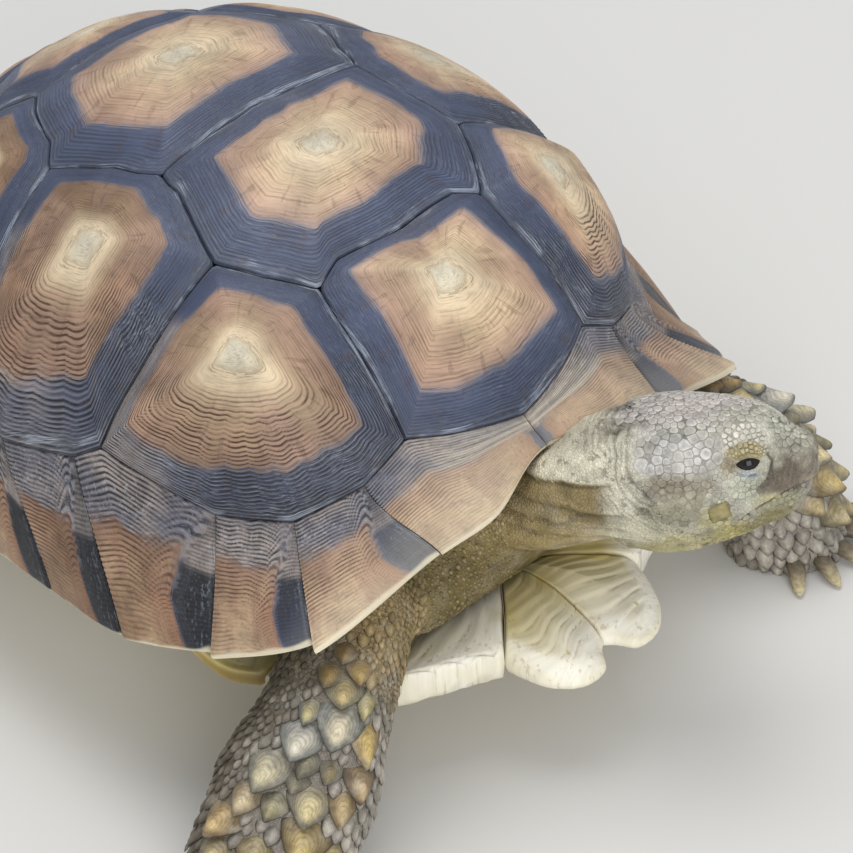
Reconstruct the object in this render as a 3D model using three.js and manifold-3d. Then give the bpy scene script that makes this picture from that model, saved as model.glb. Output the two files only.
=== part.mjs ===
// Sulcata tortoise (Centrochelys sulcata): a still, life-size model of an adult that stands with its
// neck out and its head turned to its left. Millimetres, +Z up, the floor at z = 0 while it is built,
// the head end towards -Y and the animal's left towards +X.
import * as THREE from 'three';
import { mergeVertices } from 'three/addons/utils/BufferGeometryUtils.js';
import Module from 'manifold-3d';

const wasm = await Module();
wasm.setup();

// ---------------------------------------------------------------- driving dimensions

const GAP = 0.6; // clearance between neighbouring solids
const CUTTER_SIZE = 600; // size of the boxes that trim the flesh

// The dome that the vertebral and costal plates lie on: an ellipse in plan, with a flattened crown.
const DOME = {
  apex: 250,
  base: 128.5,
  halfWidth: 164.7,
  front: 197,
  rear: 207,
  slope: 2.21,
  crown: 1.615,
};
const DOME_SPREAD = THREE.MathUtils.degToRad(72); // arc from the crown to the marginal seam

const PLATE_THICKNESS = 5;
const MARGIN_THICKNESS = 6;
const PLATE_DRAFT = 1.2; // how much narrower a plate's inner face is on each side
const SEAM_DEPTH = 0.8; // how far the seams lie below the dome
const VERTEBRAL_RISE = 3; // how far the oldest part of a vertebral plate stands above it
const COSTAL_RISES = [9, 4, 3, 3]; // and of the costal plates, from the front
const AREOLA_SHARE = 0.22; // size of that oldest part, as a share of the plate
const GROWTH_POWER = 2.2; // how late the rest of the plate falls away to its seam
const SEAM_INSET = 0.75 * GAP; // how far each plate's edge keeps back from its seam's middle
const RIM_PULL = 0.36; // how far a marginal runs straight at both ends, as a share of its width

// The marginal ring, from the front notch (0) to the middle of the tail plate (12). "bearing" turns
// from straight ahead, "reach" is the share of the dome that the plates above cover there, "flare" is
// how flat the rim's edge turns outwards and "tooth" is how far a plate's rear corner stands out.
const RING = [
  { at: 0, bearing: 0, reach: 0.931, rim: [0, -197, 156], flare: 0.85, tooth: 0 },
  { at: 0.6, rim: [42, -208, 149] },
  { at: 0.7, bearing: 21.4, reach: 0.902 },
  { at: 1, bearing: 29.4, reach: 0.949, rim: [69, -201, 140], flare: 0.85, tooth: 1 },
  { at: 2, bearing: 40.5, reach: 0.98, rim: [130, -184, 118], flare: 0.9, tooth: 6 },
  { at: 3, bearing: 51.7, reach: 0.978, rim: [153, -141, 98], flare: 0.75, tooth: 4 },
  { at: 3.7, bearing: 69.6, reach: 0.936 },
  { at: 4, bearing: 74, reach: 0.959, rim: [171, -99, 90], flare: 0.5, tooth: 2 },
  { at: 5, bearing: 87.4, reach: 0.982, rim: [175, -52, 88], flare: 0.35, tooth: 0 },
  { at: 5.7, bearing: 96.5, reach: 0.95 },
  { at: 6, bearing: 101, reach: 0.966, rim: [177, 0, 87], flare: 0.3, tooth: 0 },
  { at: 7, bearing: 114, reach: 0.978, rim: [176, 54, 88], flare: 0.35, tooth: 0 },
  { at: 7.7, bearing: 122, reach: 0.95 },
  { at: 8, bearing: 126, reach: 0.965, rim: [173, 106, 91], flare: 0.5, tooth: 2 },
  { at: 9, bearing: 139, reach: 0.975, rim: [163, 156, 97], flare: 0.7, tooth: 4 },
  { at: 10, bearing: 153, reach: 0.968, rim: [132, 203, 104], flare: 0.75, tooth: 4 },
  { at: 10.3, bearing: 157, reach: 0.95 },
  { at: 11, bearing: 167, reach: 0.965, rim: [62, 237, 100], flare: 0.6, tooth: 3 },
  { at: 12, bearing: 180, reach: 0.965, rim: [0, 248, 92], flare: 0.35, tooth: 0 },
];
const TAIL_PLATE = 12;
const FULL_RING = 2 * TAIL_PLATE;
const RING_STEPS = [0, 0.3, 0.7, 1]; // where each marginal is sampled, which meets every seam above
const MARGINALS_PER_SIDE = 11;
const NECK_SIDE_MARGINALS = 3; // how many of them the head and neck have to keep clear of

// Ring places of the seams between the costal plates, which also bound the first and last vertebral.
const COSTAL_SEAMS = [0.7, 3.7, 5.7, 7.7, 10.3];

// Where the seams between the upper plates meet, in plan, on the animal's left.
const SEAMS = {
  v1v2c1: [47.8, -107.3],
  v2c1c2: [73.3, -66.7],
  v2v3c2: [58.6, -13.2],
  v3c2c3: [82, 42.1],
  v3v4c3: [50.4, 96.9],
  v4c3c4: [68, 124],
  v4v5c4: [36, 153],
};
// The oldest part of each upper plate, in plan, from the front.
const VERTEBRAL_AREOLAS = [[0, -132], [0, -54], [0, 46], [0, 122], [0, 176]];
const COSTAL_AREOLAS = [[88.9, -100.1], [98, -11.7], [88, 84], [66, 143]];

// Plastron, in plan on the animal's left, and its heights over the floor.
const PLASTRON = {
  underside: 42,
  frontRise: 8,
  thickness: 9,
  lipThickness: 20,
  lipStart: -140,
  tipDrop: 10,
  bridgeStart: 95,
  bridgeSpan: 74,
  bridgeRise: 48,
};

// The trunk's walls stand on an ellipse below the dome and draw in to a floor over the plastron.
const TRUNK = {
  inset: 9,
  front: -150,
  rear: 176,
  wallReach: 0.9,
  shoulder: 158,
  wallFoot: 102,
  floor: 55,
  floorReach: 0.59,
};

// The loose skin between the forelegs, which lies on the front of the plastron.
const BREAST = [
  { at: [0, -120, 96], half: [112, 36] },
  { at: [0, -150, 93], half: [104, 33] },
  { at: [0, -172, 88], half: [92, 24] },
  { at: [0, -186, 80], half: [70, 11] },
];

// Stations along the neck: centre, half width and half height.
const NECK = [
  { at: [-2, -138, 112], half: [36, 30] },
  { at: [0, -168, 115], half: [33, 27] },
  { at: [3, -192, 121], half: [29, 25] },
  { at: [10, -209, 133], half: [29, 26] },
  { at: [19, -219, 139], half: [31, 31] },
  { at: [34, -236, 141], half: [32, 36] },
];

// The head hangs on its nose tip and is turned, dipped and rolled as a whole.
const HEAD = { nose: [77.6, -284.6, 155], turn: 38.5, dip: -3, roll: 15 };
// Cross-sections of the head, back from the nose: half width, crown above and chin below the nose.
const SKULL = [
  { back: 0.5, side: 9, crown: 4, chin: 13 },
  { back: 4, side: 13.5, crown: 9, chin: 21 },
  { back: 11, side: 16.5, crown: 13, chin: 28 },
  { back: 20, side: 20, crown: 19.5, chin: 33 },
  { back: 29, side: 23.5, crown: 23, chin: 37 },
  { back: 40, side: 28, crown: 24.5, chin: 41 },
  { back: 52, side: 31.5, crown: 24, chin: 45 },
  { back: 66, side: 33, crown: 23.5, chin: 47 },
  { back: 84, side: 32, crown: 20, chin: 45 },
];
const EYE = { radius: 7.5, back: 29.6, side: 15.8, above: 4.3 };

// Limbs, from the trunk to the sole: centre, half width across the limb and half depth.
const FORELEG_RIGHT = [
  { at: [-66, -132, 104], half: [29, 27] },
  { at: [-88, -160, 93], half: [29, 27] },
  { at: [-119, -179, 70], half: [29, 26] },
  { at: [-146, -186, 45], half: [36, 27] },
  { at: [-171, -192, 22], half: [35, 27] },
  { at: [-183, -194, 8], half: [34, 29] },
  { at: [-188, -195, -12], half: [33, 29] },
];
const FORELEG_LEFT = [
  { at: [72, -132, 102], half: [29, 27] },
  { at: [104, -162, 90], half: [29, 27] },
  { at: [133, -183, 68], half: [29, 27] },
  { at: [149, -197, 38], half: [31, 28] },
  { at: [155, -202, 10], half: [31, 29] },
  { at: [157, -203, -12], half: [31, 29] },
];
const HINDLEG = [
  { at: [64, 128, 84], half: [25, 25] },
  { at: [98, 164, 76], half: [29, 26] },
  { at: [121, 184, 56], half: [33, 31] },
  { at: [129, 188, 28], half: [34, 34] },
  { at: [131, 189, -12], half: [35, 36] },
];
const TAIL = [
  { at: [0, 168, 92], half: [20, 16] },
  { at: [0, 196, 86], half: [17, 14] },
  { at: [0, 222, 70], half: [12, 10] },
  { at: [0, 236, 52], half: [6, 6] },
  { at: [0, 240, 42], half: [1.5, 1.5] },
];
const FORE_CLAW = { length: 20, radius: 5.5, height: 8, count: 5, spread: 104 };
const HIND_CLAW = { length: 19, radius: 6, height: 8, count: 4, spread: 84 };
const FOOT_BEARING = { foreLeft: 12, foreRight: -38, hind: 24 }; // degrees from straight ahead

// How many faces go round each kind of flesh.
const SIDES = { limb: 12, claw: 6, tail: 10, neck: 14, head: 18, breast: 16, trunk: 28 };
const STATION_STEPS = 1.6; // rings along a limb for each of its stations

// ---------------------------------------------------------------- materials

function material(color, roughness) {
  return new THREE.MeshStandardMaterial({ color, roughness, metalness: 0 });
}

const FINISH = {
  carapace: material(0xa0785a, 0.5),
  plastron: material(0xd8cfa6, 0.5),
  skin: material(0x8f866c, 0.75),
  head: material(0xa7a184, 0.65),
  eye: material(0x14110e, 0.15),
};

// ---------------------------------------------------------------- mesh helpers

/** Six times the volume that a triangle spans with the origin, which is negative when it faces in. */
function tripleProduct(a, b, c) {
  return a.dot(new THREE.Vector3().crossVectors(b, c));
}

/** Makes a closed body of points and triangles, and turns it so that its faces point out. */
function closedBody(points, faces) {
  let volume = 0;
  for (const [a, b, c] of faces) volume += tripleProduct(points[a], points[b], points[c]);
  const index = faces.flatMap(([a, b, c]) => (volume < 0 ? [a, c, b] : [a, b, c]));
  const geometry = new THREE.BufferGeometry();
  geometry.setAttribute(
    'position',
    new THREE.Float32BufferAttribute(points.flatMap((p) => p.toArray()), 3),
  );
  geometry.setIndex(index);
  return geometry;
}

/** Stitches rings of equal length into a skin and closes it with a fan at both ends. */
function loft(rings, startCentre, endCentre) {
  const count = rings[0].length;
  const points = [startCentre, ...rings.flat(), endCentre];
  const last = points.length - 1;
  const lastRing = last - count;
  const faces = [];
  for (let i = 0; i < count; i += 1) {
    const next = (i + 1) % count;
    faces.push([0, 1 + next, 1 + i]);
    faces.push([last, lastRing + i, lastRing + next]);
    for (let ring = 0; ring < rings.length - 1; ring += 1) {
      const here = 1 + ring * count;
      const there = here + count;
      faces.push([here + i, here + next, there + next]);
      faces.push([here + i, there + next, there + i]);
    }
  }
  return closedBody(points, faces);
}

function toSolid(geometry) {
  const bare = geometry.clone();
  bare.deleteAttribute('normal');
  bare.deleteAttribute('uv');
  const welded = mergeVertices(bare, 1e-4);
  return new wasm.Manifold(
    new wasm.Mesh({
      numProp: 3,
      vertProperties: new Float32Array(welded.attributes.position.array),
      triVerts: new Uint32Array(welded.index.array),
    }),
  );
}

function toGeometry(solid) {
  const mesh = solid.getMesh();
  const geometry = new THREE.BufferGeometry();
  geometry.setAttribute('position', new THREE.Float32BufferAttribute(mesh.vertProperties, 3));
  geometry.setIndex(Array.from(mesh.triVerts));
  return geometry;
}

/** The largest body of a solid, without the chips that a cut may leave. */
function mainBody(solid) {
  return solid.decompose().sort((a, b) => b.volume() - a.volume())[0];
}

/** A box between two corners, as a cutter. */
function block(low, high) {
  const size = new THREE.Vector3().subVectors(high, low);
  const middle = new THREE.Vector3().addVectors(low, high).multiplyScalar(0.5);
  return toSolid(new THREE.BoxGeometry(size.x, size.y, size.z).translate(middle.x, middle.y, middle.z));
}

/** Everything on one side of a plane across the Y axis. */
function beyondY(y, sign) {
  const far = CUTTER_SIZE;
  const low = new THREE.Vector3(-far, sign > 0 ? y : y - far, -far);
  const high = new THREE.Vector3(far, sign > 0 ? y + far : y, far);
  return block(low, high);
}

function belowFloor() {
  const far = CUTTER_SIZE;
  return block(new THREE.Vector3(-far, -far, -far), new THREE.Vector3(far, far, 0));
}

function mirrored(point) {
  return new THREE.Vector3(-point.x, point.y, point.z);
}

function smoothStep(value) {
  return THREE.MathUtils.smoothstep(value, 0, 1);
}

// ---------------------------------------------------------------- dome and marginal ring

const SEAM_ROWS = RING.filter((row) => 'bearing' in row);
const RIM_ROWS = RING.filter((row) => 'rim' in row);
const RIM_CORNERS = RIM_ROWS.map((row) => new THREE.Vector3(...row.rim));
const RIM_CURVE = new THREE.CatmullRomCurve3(
  [...RIM_CORNERS, ...RIM_CORNERS.slice(1, -1).reverse().map(mirrored)],
  true,
  'centripetal',
);

function domePoint(bearing, reach, lift = 0) {
  const halfLength = Math.cos(bearing) > 0 ? DOME.front : DOME.rear;
  const fall = Math.min(reach ** DOME.slope, 1);
  const rise = (DOME.apex - DOME.base) * (1 - fall) ** (1 / DOME.crown);
  const point = new THREE.Vector3(
    DOME.halfWidth * reach * Math.sin(bearing),
    -halfLength * reach * Math.cos(bearing),
    DOME.base + rise,
  );
  if (lift === 0) return point;
  return point.addScaledVector(domeNormal(bearing, reach), lift);
}

/** Outward direction on the dome, from its slope along and across the bearing. */
function domeNormal(bearing, reach) {
  const step = 0.002;
  const near = Math.max(reach - step, 0.01);
  const outward = domePoint(bearing, near + step).sub(domePoint(bearing, near));
  const across = domePoint(bearing + step, near + step).sub(domePoint(bearing - step, near + step));
  return new THREE.Vector3().crossVectors(outward, across).normalize();
}

/** Ring place folded onto the left half, with +1 on the left and -1 on the right. */
function folded(at) {
  const turn = ((at % FULL_RING) + FULL_RING) % FULL_RING;
  return turn > TAIL_PLATE ? { place: FULL_RING - turn, side: -1 } : { place: turn, side: 1 };
}

/** Linear value of one of the ring's columns at a place on its left half. */
function ringValue(place, column) {
  const rows = RING.filter((row) => column in row);
  const upper = Math.max(rows.findIndex((row) => row.at >= place), 1);
  const [low, high] = [rows[upper - 1], rows[upper]];
  const share = (place - low.at) / (high.at - low.at);
  return THREE.MathUtils.lerp(low[column], high[column], share);
}

function seamBearing(at) {
  const { place, side } = folded(at);
  return side * THREE.MathUtils.degToRad(ringValue(place, 'bearing'));
}

/** The share of the dome that the upper plates cover in a direction. */
function seamReach(bearing) {
  const degrees = Math.min(Math.abs(THREE.MathUtils.radToDeg(bearing)), 180);
  const upper = Math.max(SEAM_ROWS.findIndex((row) => row.bearing >= degrees), 1);
  const [low, high] = [SEAM_ROWS[upper - 1], SEAM_ROWS[upper]];
  const share = (degrees - low.bearing) / (high.bearing - low.bearing);
  return THREE.MathUtils.lerp(low.reach, high.reach, share);
}

/** The rim's edge, which runs through its corners at their own ring places. */
function rimPoint(at) {
  const { place, side } = folded(at);
  const upper = Math.max(RIM_ROWS.findIndex((row) => row.at >= place), 1);
  const share = (place - RIM_ROWS[upper - 1].at) / (RIM_ROWS[upper].at - RIM_ROWS[upper - 1].at);
  const point = RIM_CURVE.getPoint((upper - 1 + share) / RIM_CURVE.points.length);
  return side > 0 ? point : mirrored(point);
}

/** The direction that leans from a level heading down to a given fall. */
function leaning(heading, fall) {
  return heading.clone().multiplyScalar(Math.sqrt(1 - fall * fall)).setZ(-fall);
}

/** A point of the marginal ring, from the seam (drop 0) to the rim (drop 1). */
function marginPoint(at, drop, tooth) {
  const bearing = seamBearing(at);
  const reach = seamReach(bearing);
  const top = domePoint(bearing, reach);
  const rim = rimPoint(at);
  const pull = top.distanceTo(rim) * RIM_PULL;
  const heading = rim.clone().sub(top).setZ(0).normalize();
  rim.addScaledVector(heading, tooth);
  const fall = -domePoint(bearing, reach + 0.005).sub(top).normalize().z;
  const flare = ringValue(folded(at).place, 'flare');
  const curve = new THREE.CubicBezierCurve3(
    top,
    top.clone().addScaledVector(leaning(heading, fall), pull),
    rim.clone().addScaledVector(leaning(heading, Math.sqrt(1 - flare * flare)), -pull),
    rim,
  );
  return curve.getPoint(drop);
}

// ---------------------------------------------------------------- plates

/** Place of a plan point in the flat chart of the upper plates, where the marginal seam is at 1. */
function chartOfPlan([x, y]) {
  const halfLength = y < 0 ? DOME.front : DOME.rear;
  const bearing = Math.atan2(x / DOME.halfWidth, -y / halfLength);
  const reach = Math.hypot(x / DOME.halfWidth, y / halfLength) / seamReach(bearing);
  return chart(bearing, Math.asin(Math.min(reach, 1) * Math.sin(DOME_SPREAD)) / DOME_SPREAD);
}

function chart(bearing, radius) {
  return new THREE.Vector2(radius * Math.sin(bearing), -radius * Math.cos(bearing));
}

function upperPoint(spot, lift) {
  const bearing = Math.atan2(spot.x, -spot.y);
  const share = Math.sin(Math.min(spot.length(), 1) * DOME_SPREAD) / Math.sin(DOME_SPREAD);
  return domePoint(bearing, Math.max(seamReach(bearing) * share, 0.001), lift);
}

/** Height of a plate's weathered surface over the dome, from its areola (0) to its seam (1). */
function growthLift(share, rise) {
  const fall = Math.max((share - AREOLA_SHARE) / (1 - AREOLA_SHARE), 0) ** GROWTH_POWER;
  return rise - fall * (rise + SEAM_DEPTH);
}

/**
 * A plate whose outer and inner faces are rings around its areola.
 * face(spot, share) and back(spot, share) give points of the two faces.
 */
function plate(outline, centre, face, back, shares, room = 0) {
  const shrunk = (inset) =>
    outline.map((spot) => {
      const width = face(spot, 1).distanceTo(face(centre, 0));
      return spot.clone().lerp(centre, inset / width);
    });
  const edge = SEAM_INSET - 2 * room;
  const ring = (side, spots, share) =>
    spots.map((spot) => side(centre.clone().lerp(spot, share), share));
  const rings = shares.map((share) => ring(face, shrunk(edge), share));
  const inner = shrunk(edge + PLATE_DRAFT);
  rings.push(...shares.toReversed().map((share) => ring(back, inner, share)));
  return loft(rings, face(centre, 0), back(centre, 0));
}

/** Spots from one chart corner to the next, without the last. */
function straightEdge(from, to, steps = 2) {
  return Array.from({ length: steps }, (_, i) => from.clone().lerp(to, i / steps));
}

/** Spots along the marginal seam between two ring places, without the last. */
function seamEdge(from, to) {
  const places = new Set([from]);
  for (let whole = Math.floor(from); whole < to; whole += 1) {
    for (const step of RING_STEPS) places.add(whole + step);
  }
  return [...places]
    .filter((place) => place >= from - 1e-6 && place < to - 1e-6)
    .sort((a, b) => a - b)
    .map((place) => chart(seamBearing(place), 1));
}

const corner = Object.fromEntries(Object.entries(SEAMS).map(([name, plan]) => [name, chartOfPlan(plan)]));
const across = (spot) => new THREE.Vector2(-spot.x, spot.y);

function upperPlate(outline, centrePlan, rise) {
  const face = (spot, share) => upperPoint(spot, growthLift(share, rise));
  const back = (spot) => upperPoint(spot, -PLATE_THICKNESS);
  return plate(outline, chartOfPlan(centrePlan), face, back, [AREOLA_SHARE, 0.6, 1]);
}

function hexagon(corners) {
  return corners.flatMap((spot, i) => straightEdge(spot, corners[(i + 1) % corners.length]));
}

function vertebralPlates() {
  const { v1v2c1, v2c1c2, v2v3c2, v3c2c3, v3v4c3, v4c3c4, v4v5c4 } = corner;
  const [front, rear] = [COSTAL_SEAMS[0], COSTAL_SEAMS[COSTAL_SEAMS.length - 1]];
  const six = (fore, side, aft) => hexagon([fore, side, aft, across(aft), across(side), across(fore)]);
  const first = [
    ...seamEdge(-front, front),
    ...straightEdge(chart(seamBearing(front), 1), v1v2c1),
    ...straightEdge(v1v2c1, across(v1v2c1)),
    ...straightEdge(across(v1v2c1), chart(seamBearing(-front), 1)),
  ];
  const fifth = [
    ...seamEdge(rear, FULL_RING - rear),
    ...straightEdge(chart(seamBearing(-rear), 1), across(v4v5c4)),
    ...straightEdge(across(v4v5c4), v4v5c4),
    ...straightEdge(v4v5c4, chart(seamBearing(rear), 1)),
  ];
  const outlines = [
    first,
    six(v1v2c1, v2c1c2, v2v3c2),
    six(v2v3c2, v3c2c3, v3v4c3),
    six(v3v4c3, v4c3c4, v4v5c4),
    fifth,
  ];
  return outlines.map((outline, i) => upperPlate(outline, VERTEBRAL_AREOLAS[i], VERTEBRAL_RISE));
}

function costalPlates(side) {
  const { v1v2c1, v2c1c2, v2v3c2, v3c2c3, v3v4c3, v4c3c4, v4v5c4 } = corner;
  const innerCorners = [
    [v2c1c2, v1v2c1],
    [v3c2c3, v2v3c2, v2c1c2],
    [v4c3c4, v3v4c3, v3c2c3],
    [v4v5c4, v4c3c4],
  ];
  return innerCorners.map((inner, i) => {
    const [start, end] = [COSTAL_SEAMS[i], COSTAL_SEAMS[i + 1]];
    const corners = [chart(seamBearing(end), 1), ...inner, chart(seamBearing(start), 1)];
    const outline = seamEdge(start, end);
    for (let k = 0; k < corners.length - 1; k += 1) {
      outline.push(...straightEdge(corners[k], corners[k + 1]));
    }
    const placed = side > 0 ? outline : outline.map(across);
    const [x, y] = COSTAL_AREOLAS[i];
    return upperPlate(placed, [side * x, y], COSTAL_RISES[i]);
  });
}

/** One plate of the marginal ring, over a stretch of it, with its rear corner drawn out. */
function marginalPlate(from, to, tooth, flip, room = 0) {
  const steps = [];
  for (let whole = from; whole < to; whole += 1) steps.push(...RING_STEPS.map((step) => whole + step));
  const places = [...new Set(steps)];
  const drops = [1 / 3, 2 / 3];
  const outline = [
    ...places.map((place) => new THREE.Vector2(place, 0)),
    ...drops.map((drop) => new THREE.Vector2(to, drop)),
    ...places.toReversed().map((place) => new THREE.Vector2(place, 1)),
    ...drops.toReversed().map((drop) => new THREE.Vector2(from, drop)),
  ];
  const point = (spot, depth) => {
    const share = (spot.x - from) / (to - from);
    const out = tooth * share * share;
    const step = 0.02;
    const here = marginPoint(spot.x, spot.y, out);
    const along = marginPoint(spot.x + step, spot.y, 0).sub(marginPoint(spot.x - step, spot.y, 0));
    const low = Math.min(spot.y + step, 1);
    const down = marginPoint(spot.x, low, 0).sub(marginPoint(spot.x, low - 2 * step, 0));
    const normal = new THREE.Vector3().crossVectors(down, along).normalize();
    const placed = here.addScaledVector(normal, -depth);
    return flip ? mirrored(placed) : placed;
  };
  const face = (spot) => point(spot, SEAM_DEPTH * (1 - smoothStep(spot.y * 4)) - room);
  const back = (spot) => point(spot, MARGIN_THICKNESS + room);
  return plate(outline, new THREE.Vector2((from + to) / 2, 0.5), face, back, [0.5, 1], room);
}

// ---------------------------------------------------------------- plastron

function plastronBottom(x, y) {
  const wing = smoothStep((Math.abs(x) - PLASTRON.bridgeStart) / PLASTRON.bridgeSpan);
  const bridge = smoothStep((120 - Math.abs(y)) / 30);
  const front = smoothStep((PLASTRON.lipStart - y) / 60);
  return PLASTRON.underside + PLASTRON.bridgeRise * wing * bridge + PLASTRON.frontRise * front;
}

function plastronTop(x, y) {
  const lip = smoothStep((PLASTRON.lipStart - y) / 45);
  const tip = smoothStep((-195 - y) / 50);
  const thickness = THREE.MathUtils.lerp(PLASTRON.thickness, PLASTRON.lipThickness, lip);
  return plastronBottom(x, y) + thickness - PLASTRON.tipDrop * tip;
}

// Outlines of the six pairs of plates, in plan on the animal's left, from the front.
const PLASTRON_OUTLINES = {
  gular: [[0, -162], [24, -190], [43, -210], [37, -229], [25, -241], [11, -242], [4, -233], [0, -230]],
  humeral: [[0, -162], [0, -114], [70, -121], [119, -130], [112, -162], [90, -188], [43, -210], [24, -190]],
  pectoral: [[0, -114], [0, -74], [90, -62], [165, -48], [165, -82], [140, -102], [119, -130], [70, -121]],
  abdominal: [[0, -74], [0, 62], [70, 80], [124, 104], [146, 96], [165, 78], [165, -48], [90, -62]],
  femoral: [[0, 62], [0, 150], [45, 168], [84, 186], [110, 152], [124, 104], [70, 80]],
  anal: [[0, 150], [0, 200], [28, 228], [56, 220], [84, 186], [45, 168]],
};

function plastronPlate(plan, flip, room = 0) {
  const outline = plan.map(([x, y]) => new THREE.Vector2(x, y));
  const centre = outline.reduce((sum, spot) => sum.add(spot), new THREE.Vector2());
  centre.multiplyScalar(1 / outline.length);
  const place = (spot, z) => new THREE.Vector3(flip ? -spot.x : spot.x, spot.y, z);
  const face = (spot) => place(spot, plastronBottom(spot.x, spot.y) - room);
  const back = (spot) => place(spot, plastronTop(spot.x, spot.y) + room);
  return plate(outline, centre, face, back, [0.6, 1], room);
}

// ---------------------------------------------------------------- flesh

const SIDEWAYS = new THREE.Vector3(1, 0, 0);
const FOOT_SIDEWAYS = new THREE.Vector3(0.6, -0.8, 0); // the forelegs are turned out at the shoulder

/** A ring of a limb or of the neck: an ellipse square to the way it runs. */
function limbRing(centre, heading, half, sides, sideways) {
  const side = sideways.clone().addScaledVector(heading, -sideways.dot(heading)).normalize();
  const up = new THREE.Vector3().crossVectors(side, heading).normalize();
  return Array.from({ length: sides }, (_, i) => {
    const angle = (i / sides) * 2 * Math.PI;
    return centre
      .clone()
      .addScaledVector(side, Math.cos(angle) * half[0])
      .addScaledVector(up, Math.sin(angle) * half[1]);
  });
}

/** A tapering limb through its stations, smoothed between them, thicker all round by grow. */
function limb(stations, sides, sideways, grow = 0) {
  const centres = new THREE.CatmullRomCurve3(stations.map(({ at }) => new THREE.Vector3(...at)));
  const count = Math.ceil((stations.length - 1) * STATION_STEPS);
  const rings = Array.from({ length: count + 1 }, (_, i) => {
    const share = i / count;
    const spot = share * (stations.length - 1);
    const low = Math.min(Math.floor(spot), stations.length - 2);
    const half = [0, 1].map(
      (k) => grow + THREE.MathUtils.lerp(stations[low].half[k], stations[low + 1].half[k], spot - low),
    );
    return limbRing(centres.getPoint(share), centres.getTangent(share), half, sides, sideways);
  });
  return toSolid(loft(rings, centres.getPoint(0), centres.getPoint(1)));
}

function claw(base, direction, { length, radius }) {
  const drop = new THREE.Vector3(0, 0, -1);
  const sideways = new THREE.Vector3().crossVectors(direction, drop).normalize();
  const stations = [
    { share: -0.4, size: 0.9, sink: 0 },
    { share: 0.5, size: 0.8, sink: 0.1 },
    { share: 1, size: 0.15, sink: 0.27 },
  ];
  const place = ({ share, sink }) =>
    base.clone().addScaledVector(direction, share * length).addScaledVector(drop, sink * length);
  const rings = stations.map((station) => {
    const half = [radius * station.size, radius * station.size * 0.8];
    return limbRing(place(station), direction, half, SIDES.claw, sideways);
  });
  return toSolid(loft(rings, place(stations[0]), place(stations[stations.length - 1])));
}

/** Claws in a fan round the front of a foot that points along a bearing. */
function clawFan(foot, bearing, claws) {
  const { count, spread, height } = claws;
  return Array.from({ length: count }, (_, i) => {
    const angle = THREE.MathUtils.degToRad(bearing + spread * (i / (count - 1) - 0.5));
    const direction = new THREE.Vector3(Math.sin(angle), -Math.cos(angle), 0);
    const base = new THREE.Vector3(foot.at[0], foot.at[1], height);
    return claw(base.addScaledVector(direction, Math.min(...foot.half) - 3), direction, claws);
  });
}

function headFrame() {
  const turn = THREE.MathUtils.degToRad(HEAD.turn);
  const frame = new THREE.Matrix4().makeTranslation(...HEAD.nose);
  frame.multiply(new THREE.Matrix4().makeRotationZ(turn));
  frame.multiply(new THREE.Matrix4().makeRotationX(THREE.MathUtils.degToRad(HEAD.dip)));
  frame.multiply(new THREE.Matrix4().makeRotationY(THREE.MathUtils.degToRad(HEAD.roll)));
  return frame;
}

/** A boxy ring of the head, flat on the crown and rounder under the jaw, back along +Y. */
function skullRing({ back, side, crown, chin }, sides) {
  return Array.from({ length: sides }, (_, i) => {
    const angle = (i / sides) * 2 * Math.PI;
    const [c, s] = [Math.cos(angle), Math.sin(angle)];
    const x = side * Math.sign(c) * Math.abs(c) ** 0.8;
    const z = Math.sign(s) * Math.abs(s) ** 0.85 * (s > 0 ? crown : chin);
    return new THREE.Vector3(x, back, z);
  });
}

/** The head, or with room the space ahead of its back face that the neck keeps out of. */
function headSolid(room) {
  const last = SKULL[SKULL.length - 1];
  const rings = SKULL.map((station) => {
    const back = station === last && room > 0 ? station.back + GAP : station.back;
    const { side, crown, chin } = station;
    return skullRing({ back, side: side + room, crown: crown + room, chin: chin + room }, SIDES.head);
  });
  const nose = new THREE.Vector3(0, -room, -2);
  const nape = new THREE.Vector3(0, rings[rings.length - 1][0].y, -8);
  return toSolid(loft(rings, nose, nape).applyMatrix4(headFrame()));
}

function eyeCentre(side) {
  return new THREE.Vector3(side * EYE.side, EYE.back, EYE.above).applyMatrix4(headFrame());
}

function eyeSolid(side, grow) {
  const ball = new THREE.IcosahedronGeometry(EYE.radius + grow, 2);
  const centre = eyeCentre(side);
  return toSolid(ball.translate(centre.x, centre.y, centre.z));
}

/** The trunk inside the shell, or with room the space that the limbs keep out of. */
function trunkSolid(room) {
  const turns = Array.from({ length: SIDES.trunk }, (_, i) => i / SIDES.trunk);
  const bearings = turns.map((turn) => (2 * turn - 1) * Math.PI);
  const inset = TRUNK.inset - room;
  const widen = room / DOME.halfWidth;
  const domeRing = (reach) => bearings.map((bearing) => domePoint(bearing, reach, -inset));
  const flat = (reach, z) => bearings.map((bearing) => domePoint(bearing, reach + widen).setZ(z));
  const rings = [0.25, 0.48, 0.68, 0.83].map(domeRing);
  rings.push(flat(TRUNK.wallReach, TRUNK.shoulder), flat(TRUNK.wallReach, TRUNK.wallFoot));
  rings.push(flat(TRUNK.floorReach, TRUNK.floor - room));
  const crown = new THREE.Vector3(0, 0, DOME.apex - inset);
  return toSolid(loft(rings, crown, new THREE.Vector3(0, 0, TRUNK.floor - room)))
    .intersect(beyondY(TRUNK.front - room, 1))
    .intersect(beyondY(TRUNK.rear + room, -1))
    .add(limb(BREAST, SIDES.breast, SIDEWAYS, room));
}

// ---------------------------------------------------------------- assembly

const group = new THREE.Group();

function addNode(name, geometry, finish) {
  const mesh = new THREE.Mesh(geometry, finish);
  mesh.name = name;
  group.add(mesh);
}

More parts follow.
